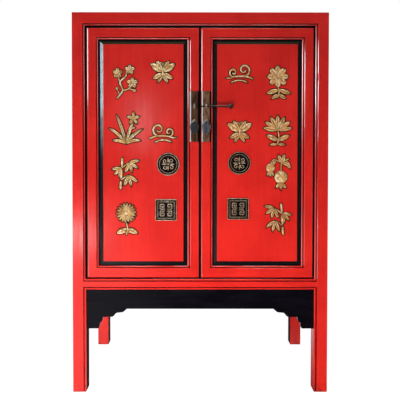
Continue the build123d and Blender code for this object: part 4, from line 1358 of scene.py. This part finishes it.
@dataclass
class Door(DoorWork):
    """One door: frame, raised panel, relief and plaques.

    The columns of the relief are measured from the middle of the case, its rows from the floor.
    """

    outer: tuple[Callable[[], list[Pad]], ...]
    inner: tuple[Callable[[], list[Pad]], ...]
    outer_column: float
    inner_column: float
    highlight_width: float
    gilding: AgedGilding
    plaque_gilding: AgedGilding
    outer_top: float = 1291 * MM
    outer_pitch: float = 189 * MM
    inner_rows: tuple[float, ...] = (1330 * MM, 1084 * MM)
    border: float = 3.2
    soften: float = 1.0 * MM
    skin: float = 0.3 * MM
    frame_width: float = 51.0 * MM
    lit_edge: float = 4.0 * MM
    # How far painted shade reaches: round the panel's reveal, in from the right edge, and down from the top
    # edge.
    shade_lip: float = 2.6 * MM
    shade_edge: float = 4.5 * MM
    shade_top: float = 2.0 * MM
    field_inset: float = 18.0 * MM
    panel_soften: float = 0.9 * MM
    panel_least_angle: float = 12.0

    def build(self) -> None:
        """Dress the door's wood and lay its relief."""
        name = self.body
        frame_low, frame_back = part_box(f"{name}_hinge_stile")
        panel_low, panel_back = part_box(f"{name}_panel")
        left, right, sill, head = self.opening()
        low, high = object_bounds()
        backs = (frame_back.y - self.skin, panel_back.y - self.skin)
        stained = [Region((low.x, back, low.z), tuple(high)) for back in backs]
        raised = Region((left + self.field_inset, panel_low.y, low.z), tuple(high))
        # Painted highlight lines along the right and bottom mouldings of the panel's opening.
        lines = LEFT_BEAD.lines(right, frame_low.y, sill, head)
        lines += SILL_BEAD.lines(sill, frame_low.y, left, right)
        upright = RubbedLacquer(
            f"{name}_lacquer_upright", Grain.ALONG_Z, (stained[0],), self.shade_rims(),
            highlight_edge=left - self.frame_width, lip_width=self.highlight_width, lines=lines,
        )
        level = replace(upright, name=f"{name}_lacquer_level", grain=Grain.ALONG_X)
        field = RubbedLacquer(f"{name}_lacquer_field", Grain.ALONG_Z, (stained[1],), field=raised)
        wood = StainedWood(f"{name}_batten_wood", Grain.ALONG_X)
        dress([f"{name}_hinge_stile", f"{name}_meeting_stile"], upright.material(), self.soften)
        dress([f"{name}_top_rail", f"{name}_bottom_rail"], level.material(), self.soften)
        dress([f"{name}_panel"], field.material(), self.panel_soften, self.panel_least_angle)
        dress([f"{name}_battens"], wood.material(), self.soften)
        self.lay_relief(panel_low.y)
        self.set_plaques(panel_low.y)

    def opening(self) -> tuple[float, float, float, float]:
        """The edges of the opening for the panel.

        Returns:
            Its left and right edge, along X, and its sill and head, along Z.
        """
        low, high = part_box(f"{self.body}_top_rail")
        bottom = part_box(f"{self.body}_bottom_rail")[0].z
        inset = self.frame_width
        return low.x + inset, high.x - inset, bottom + inset, high.z - inset

    def shade_rims(self) -> tuple[Region, ...]:
        """Painted shade: black on the door's outer sides, in along its right and top edges, and round the
        reveal of its panel.

        Returns:
            Both sides, the bottom, the top, and the opening for the panel.
        """
        front, back = (corner.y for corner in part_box(f"{self.body}_hinge_stile"))
        left, right, sill, head = self.opening()
        skin, proud, inner = self.skin, front - self.skin, front + self.lit_edge
        low_x, high_x = left - self.frame_width - skin, right + self.frame_width + skin
        low_z, high_z = sill - self.frame_width - skin, head + self.frame_width + skin
        return (
            Region((low_x, inner, low_z), (low_x + 2 * skin, back, high_z)),
            Region((high_x - skin - self.shade_edge, proud, low_z), (high_x, back, high_z)),
            Region((low_x, inner, low_z), (high_x, back, low_z + 2 * skin)),
            Region((low_x, proud, high_z - skin - self.shade_top), (high_x, back, high_z)),
            Region(
                (left - self.shade_lip, proud, sill - self.shade_top),
                (right + skin, back, head + self.shade_lip),
            ),
        )

    def lay_relief(self, face: float) -> None:
        """Make the gilt motifs and the dark border under them, which stands for an outline and partly for
        their painted shadow.

        Args:
            face: where the panel's raised field is, along Y.
        """
        outer_rows = [self.outer_top - number * self.outer_pitch for number in range(len(self.outer))]
        places = [(motif(), (self.outer_column, row)) for motif, row in zip(self.outer, outer_rows)]
        places += [(motif(), (self.inner_column, row)) for motif, row in zip(self.inner, self.inner_rows)]
        # The dark border sheet is partly a painted shadow of the relief.
        shadow = BlackLacquer(f"{self.body}_border_lacquer", (0.009, 0.005, 0.002), (0.018, 0.010, 0.004))
        for name, grow, finish, slot, nodes in (
            ("gilt_relief", 0.0, self.gilding, "gilding", (f"{self.body}_relief",)),
            ("relief_border", self.border, shadow, "black_lacquer", ()),
        ):
            relief = Relief(bmesh.new(), face, -self.side.sign, grow)
            for pads, centre in places:
                relief.add(pads, centre)
            piece = finish_mesh(relief.mesh, f"{self.body}_{name}", smooth=not grow)
            hold(piece, self.body, finish.material(), slot, *nodes)

    def set_plaques(self, face: float) -> None:
        """Make the two plaques.

        Args:
            face: where the panel's raised field is, along Y.
        """
        black = BlackLacquer(f"{self.body}_plaque_lacquer", shine=0.08).material()
        gilding = self.plaque_gilding.material()
        for shape in ("round", "square"):
            node = f"{self.body}_{shape}_plaque"
            low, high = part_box(node)
            centre = ((low.x + high.x) / 2, (low.z + high.z) / 2)
            plaque = Plaque(f"{node}_board", centre, (high.x - low.x) / 2, shape == "round", face)
            hold(plaque.board(), self.body, black, "black_lacquer", node)
            hold(plaque.gilding(f"{node}_gilding", self.side.sign), self.body, gilding, "gilding")


@dataclass
class Furniture(DoorWork):
    """The metal fittings of one door: lock plate, bolt eye, boss, pull ring and drop pull."""

    plate_patina: Colour
    plate_warm: Colour
    pull_patina: Colour
    pull_light: Colour
    # The colour of rubbed edges and of the painted highlight on the plate's left bevel.
    bare_and_highlight: Colour = (0.80, 0.80, 0.78)
    plate_bevel: float = 5.0 * MM
    plate_edge: float = 0.9 * MM
    plate_least_angle: float = 10.0
    washer: tuple[Point2, ...] = ((0.0, 0.0), (0.985, 0.0), (1.0, 0.15), (0.96, 0.26))
    """The section of the boss's washer: radius and height, as shares of the boss's."""
    dome_radius: float = 0.93
    dome_foot: float = 0.2
    dome_start: float = 0.06
    pull_shares: tuple[float, ...] = (0.0, 0.08, 0.2, 0.4, 0.6, 0.78, 0.86, 0.94, 1.0)
    """Where the rings of the pull are, from its hole, 0, to its edge, 1."""
    pull_line: float = 0.86
    """The ring that is sunk as a line round the pull."""
    pull_line_depth: float = 0.16
    """As a share of the pull's thickness, like the next three."""
    pull_swell: float = 0.25
    pull_crown: float = 0.2
    pull_trim: float = 0.18
    pull_ring_radius: float = 6.0 * MM
    pull_hole_drop: float = 0.4 * MM
    pull_hole_radius: float = 2.9 * MM

    def build(self) -> None:
        """Dress or make every fitting of the door."""
        tag = self.side.value
        low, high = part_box(f"lock_plate_{tag}")
        near, far = low - Vector((MM, MM, MM)), high.z + MM
        # Painted highlight on the plate's left bevel, painted shade on its right bevel.
        highlight_bevel = Region(tuple(near), (low.x + self.plate_bevel, high.y, far))
        shade = Region((high.x - self.plate_bevel, near.y, near.z), tuple(high))
        brown = OldBrass(
            f"plate_brass_{tag}", self.plate_patina, self.plate_warm, self.bare_and_highlight, smooth=0.36,
            highlighted=(highlight_bevel,), painted_shade=(shade,),
        )
        dark = OldBrass(f"fitting_brass_{tag}", (0.050, 0.038, 0.030), (0.125, 0.095, 0.070))
        pale = OldBrass(f"eye_brass_{tag}", (0.20, 0.17, 0.14), (0.55, 0.48, 0.38), (0.9, 0.84, 0.7))
        pale = pale.material()
        slate = OldBrass(f"pull_metal_{tag}", self.pull_patina, self.pull_light, metallic=0.5, smooth=0.38)
        dress([f"lock_plate_{tag}"], brown.material(), self.plate_edge, self.plate_least_angle)
        hold(self.boss(), self.body, pale, "dark_brass", f"pull_boss_{tag}")
        dress([f"bolt_eye_{tag}"], pale)
        dress([f"pull_ring_{tag}"], dark.material())
        hold(self.pull(), f"pull_{tag}", slate.material(), "dark_brass", f"pull_{tag}")

    def boss(self) -> bpy.types.Object:
        """The domed washer with a beaded rim.

        Returns:
            The object.
        """
        low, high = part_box(f"pull_boss_{self.side.value}")
        radius, height = (high.x - low.x) / 2, high.y - low.y
        middle = Vector(((low.x + high.x) / 2, high.y, (low.z + high.z) / 2))
        section = [*self.washer]
        for step in range(8):
            angle = math.pi / 2 * (self.dome_start + (1 - self.dome_start) * step / 8)
            up = self.dome_foot + (1 - self.dome_foot) * math.sin(angle)
            section.append((self.dome_radius * math.cos(angle), up))
        outline = [(radius * across, height * up) for across, up in (*section, (0.0, 1.0))]
        mesh = bmesh.new()
        lathe(mesh, outline, Matrix.Translation(middle) @ Euler((math.pi / 2, 0, 0)).to_matrix().to_4x4())
        return finish_mesh(mesh, f"boss_{self.side.value}")

    def pull(self) -> bpy.types.Object:
        """The leaf-shaped drop pull, built ring by ring from its hole to its edge.

        Returns:
            The object.
        """
        node = f"pull_{self.side.value}"
        low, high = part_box(node)
        ring_low, ring_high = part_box(f"pull_ring_{self.side.value}")
        half, thick = (high.x - low.x) / 2, high.y - low.y
        middle = Vector(((low.x + high.x) / 2, (low.y + high.y) / 2, high.z - half))
        drop = middle.z - low.z
        hole = (ring_low.z + ring_high.z) / 2 - self.pull_ring_radius - self.pull_hole_drop - middle.z
        fronts, rears = [], []
        for share in self.pull_shares:
            swell = math.sin(math.pi * min(share / self.pull_line, 1.0))
            crown = min(self.pull_swell * swell, self.pull_crown)
            sunk = self.pull_line_depth if share == self.pull_line else 0.0
            trim = self.pull_trim if share in (0.0, 1.0) else 0.0
            flat = []
            for x, z in round_points(48):
                inner = Vector((x * self.pull_hole_radius, hole + z * self.pull_hole_radius))
                flat.append(inner.lerp(Vector((half * x, (half if z > 0 else drop) * z)), share))
            for rings, height in ((fronts, 0.5 + crown - sunk - trim), (rears, trim - 0.5)):
                rings.append([(middle.x + x, middle.y - thick * height, middle.z + z) for x, z in flat])
        mesh = bmesh.new()
        skin(mesh, [*fronts, *reversed(rears)], endless=True)
        return finish_mesh(mesh, f"drop_{node}")


@dataclass
class Bolt:
    """The sliding bolt: a bulb at its tip, a plain shaft, and a collar and ball to hold it by."""

    shaft: float = 4.0 * MM
    tip_length: float = 6.0 * MM
    neck: float = 3.0 * MM
    neck_length: float = 2.5 * MM
    knob_length: float = 24.0 * MM
    collar_length: float = 5.0 * MM
    neck_fall: float = 0.8 * MM
    neck_rise: float = 0.6 * MM
    collar: tuple[Point2, ...] = ((0.60, 0.3 * MM), (0.68, 1.6 * MM), (0.60, 3.0 * MM), (0.48, 4.0 * MM))
    """Each point's radius next to the ball's, and its distance from the shaft's end."""
    collar_end: float = 0.50
    ball_start: float = 0.17
    """Where the ball leaves the collar, as a share of a half turn."""

    def build(self) -> None:
        """Make the bolt."""
        low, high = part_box("bolt")
        radius, length = (high.z - low.z) / 2, high.x - low.x
        outline = [(0.0, 0.0)]
        for step in range(1, 7):
            angle = math.pi / 2 * step / 6
            outline.append((self.shaft * math.sin(angle), self.shaft * (1 - math.cos(angle))))
        neck_end, shaft_end = self.tip_length + self.neck_length, length - self.knob_length
        outline += [(self.shaft, self.tip_length - self.neck_fall), (self.neck, self.tip_length)]
        outline += [(self.neck, neck_end - self.neck_rise), (self.shaft, neck_end), (self.shaft, shaft_end)]
        outline += [(radius * share, shaft_end + along) for share, along in self.collar]
        outline.append((radius * self.collar_end, shaft_end + self.collar_length))
        first = math.cos(math.pi * self.ball_start)
        for step in range(1, 12):
            angle = math.pi * (self.ball_start + (1 - self.ball_start) * step / 12)
            along = (self.knob_length - self.collar_length) * (first - math.cos(angle)) / (first + 1)
            outline.append((radius * math.sin(angle), shaft_end + self.collar_length + along))
        place = Matrix.Translation((low.x, (low.y + high.y) / 2, (low.z + high.z) / 2))
        mesh = bmesh.new()
        lathe(mesh, [*outline, (0.0, length)], place @ Euler((0, math.pi / 2, 0)).to_matrix().to_4x4())
        dark = OldBrass("bolt_metal", (0.032, 0.022, 0.018), (0.095, 0.065, 0.050)).material()
        hold(finish_mesh(mesh, "sliding_bolt"), "bolt", dark, "dark_brass", "bolt")


# ---- stage --------------------------------------------------------------------------------
class Reach(Enum):
    """What a lamp works on."""

    LIGHT = "surfaces, and not mirrors"
    MIRROR = "mirrors alone"
    BOTH = "both"


@dataclass(frozen=True)
class Lamp:
    """One soft rectangular lamp."""

    name: str
    reach: Reach
    place: Triple
    aim: Triple
    size: Point2
    radiance: float
    colour: Colour

    def build(self) -> None:
        """Hang the lamp."""
        mirrored = self.reach is not Reach.LIGHT
        data = bpy.data.lights.new(self.name, "AREA")
        data.shape = "RECTANGLE"
        data.size, data.size_y = self.size
        data.energy = self.radiance * math.pi * self.size[0] * self.size[1]
        data.color = self.colour
        data.cycles.use_multiple_importance_sampling = mirrored
        lamp = bpy.data.objects.new(self.name, data)
        lamp.location = self.place
        lamp.rotation_euler = (Vector(self.aim) - Vector(self.place)).to_track_quat("-Z", "Y").to_euler()
        lamp.visible_camera = False
        lamp.visible_glossy = mirrored
        lamp.visible_diffuse = self.reach is not Reach.MIRROR
        bpy.context.scene.collection.objects.link(lamp)


@dataclass
class Stage:
    """Floor, lamps, white surroundings and camera."""

    image_side: float = 400.0
    focal: float = 477.03
    eye: Triple = (-0.01627, -2.24457, 0.98281)
    middle_column: float = 196.87
    horizon_row: float = 165.9
    pitch: float = 0.01894
    yaw: float = 0.0011
    roll: float = 0.00081
    sensor: float = 36.0
    view_end: float = 60.0
    floor_side: float = 24.0
    floor_shade: float = 0.36
    floor_glow: float = 0.93
    floor_given: float = 0.62
    room: float = 0.09
    backdrop: float = 1.0
    ambient: float = 0.27
    ambient_colour: Colour = (0.92, 0.96, 1.0)

    def build(self) -> None:
        """Make everything round the object."""
        self.camera()
        self.floor()
        self.surroundings()
        for lamp in self.lamps():
            lamp.build()
        bpy.context.scene.view_settings.view_transform = "Standard"

    def camera(self) -> None:
        """Stand the camera at eye level in front of the cabinet."""
        data = bpy.data.cameras.new("camera")
        data.sensor_width = self.sensor
        data.lens = self.sensor * self.focal / self.image_side
        data.shift_x = (self.image_side / 2 - self.middle_column) / self.image_side
        data.shift_y = -(self.image_side / 2 - self.horizon_row) / self.image_side
        data.clip_end = self.view_end
        camera = bpy.data.objects.new("camera", data)
        camera.location = self.eye
        turn = Euler((math.pi / 2 - self.pitch, 0, -self.yaw)).to_matrix()
        camera.rotation_euler = (turn @ Euler((0, 0, self.roll)).to_matrix()).to_euler()
        bpy.context.scene.collection.objects.link(camera)
        bpy.context.scene.camera = camera

    def floor(self) -> None:
        """A pale floor that shows white, with the object's soft shadow."""
        mesh = bmesh.new()
        bmesh.ops.create_grid(mesh, x_segments=1, y_segments=1, size=self.floor_side / 2)
        piece = finish_mesh(mesh, "floor", smooth=False)
        graph = Graph("pale_floor")
        shade, given = (graph.matt(grey) for grey in (self.floor_shade, self.floor_given))
        seen = graph.add("AddShader", {0: shade, 1: graph.shining("Emission", WHITE, self.floor_glow)})
        mirrored = graph.shining("Emission", WHITE, self.mirrored_floor(graph))
        graph.show("Material Output", given, mirrored, seen.outputs[0])
        piece.data.materials.append(graph.material)
        piece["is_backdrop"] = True

    def mirrored_floor(self, graph: Graph) -> Socket:
        """How bright mirrors find the floor: white behind the object, pale near the window, else dim."""
        behind = graph.fade(graph.axis("Y"), -0.3, 0.8, 0.08, 0.95)
        near = graph.fade(graph.axis("Y"), -3.8, -0.9, 0.25, 0.75)
        return graph.union(behind, graph.times(near, graph.fade(graph.axis("X"), 0.0, -0.55)))

    def surroundings(self) -> None:
        """White where it is seen, and a plain soft grey where it lights; mirrors find the room dim."""
        world = bpy.data.worlds.new("surroundings")
        world.use_nodes = True
        nodes = Nodes(world.node_tree)
        toward = nodes.axis("Y", nodes.add("TexCoord").outputs["Generated"])
        lighting = nodes.shining("Background", self.ambient_colour, self.ambient)
        found = nodes.fade(toward, 0.05, 0.45, self.room, self.backdrop)
        mirrored = nodes.shining("Background", WHITE, found)
        nodes.show("World Output", lighting, mirrored, nodes.shining("Background", WHITE, 1.0))
        bpy.context.scene.world = world

    def lamps(self) -> tuple[Lamp, ...]:
        """Soft light from the left, low light for the lower half, and what the lacquer mirrors.

        Returns:
            The lamps.
        """
        light, mirror, both = Reach.LIGHT, Reach.MIRROR, Reach.BOTH
        middle, door = (0.0, -0.2, 0.95), (-0.2, -0.27, 1.1)
        cool, warm, rose, amber = (0.93, 0.98, 1.0), (1.0, 0.98, 0.96), (1.0, 0.97, 0.97), (1.0, 0.80, 0.25)
        sky, pale = (0.62, 0.88, 1.0), (0.97, 0.98, 1.0)
        return (
            Lamp("window_light", light, (-2.45, -2.10, 1.25), middle, (0.60, 1.30), 8.0, cool),
            Lamp("low_front", light, (-0.40, -1.45, 0.12), (-0.1, -0.2, 0.45), (1.6, 0.30), 14.4, warm),
            Lamp("low_right", light, (0.53, -1.45, 0.12), (0.3, -0.2, 0.45), (0.16, 0.30), 16.0, warm),
            Lamp("under_left", light, (-0.15, -0.30, 0.10), (-0.5, 0.25, 0.16), (0.20, 0.10), 40.0, WHITE),
            Lamp("right_fill", light, (1.90, -2.20, 0.90), (0.1, -0.2, 0.8), (0.8, 0.8), 1.5, WHITE),
            Lamp("high_front", both, (0.0, -1.70, 3.30), (0.0, -0.2, 1.2), (1.8, 0.5), 0.5, amber),
            Lamp("low_glow", both, (-1.10, -2.60, 0.26), (-0.5, -0.27, 0.6), (0.26, 0.18), 12.5, rose),
            Lamp("window_pane", mirror, (-2.45, -2.10, 1.78), door, (0.50, 0.72), 16.0, sky),
            Lamp("window_sill", mirror, (-2.45, -2.10, 1.27), door, (0.50, 0.34), 4.5, sky),
            Lamp("window_side", mirror, (-2.70, -1.05, 1.86), door, (1.60, 0.74), 3.1, pale),
            Lamp("ceiling", mirror, (0.0, -0.75, 3.40), middle, (1.6, 0.5), 16.0, WHITE),
            Lamp("far_window", mirror, (-0.54, -2.87, 1.32), (-0.24, -0.27, 1.2), (0.08, 0.45), 7.0, WHITE),
        )


def main() -> None:
    """Build the cabinet's looks and the stage."""
    logging.basicConfig(level=logging.INFO, format="%(name)s: %(message)s")
    CaseWork().build()
    Door(
        Side.LEFT, (plum, orchid, bamboo, chrysanthemum), (butterfly, cloud), -307 * MM, -155 * MM, 7.5 * MM,
        AgedGilding("door_left_gilding"),
        AgedGilding("door_left_plaque_gilding", (0.80, 0.57, 0.38), (0.95, 0.82, 0.62)),
    ).build()
    Door(
        Side.RIGHT, (peony, lotus, pomegranate, bamboo), (cloud, butterfly), 321 * MM, 163 * MM, 6.0 * MM,
        # Darker copies of the left door's gildings: painted shade.
        AgedGilding("door_right_gilding", (0.84, 0.42, 0.13), (0.90, 0.68, 0.42)),
        AgedGilding("door_right_plaque_gilding", (0.50, 0.34, 0.22), (0.70, 0.56, 0.40)),
    ).build()
    # The right plate and pull are lighter copies of the left ones: painted light.
    brown, tan = (0.088, 0.034, 0.016), (0.215, 0.094, 0.046)
    Furniture(Side.LEFT, brown, tan, (0.021, 0.021, 0.025), (0.072, 0.070, 0.077)).build()
    brown, tan = (0.185, 0.086, 0.047), (0.480, 0.245, 0.140)
    Furniture(Side.RIGHT, brown, tan, (0.054, 0.062, 0.079), (0.182, 0.193, 0.218)).build()
    Bolt().build()
    Stage().build()


if __name__ == "__main__":
    main()
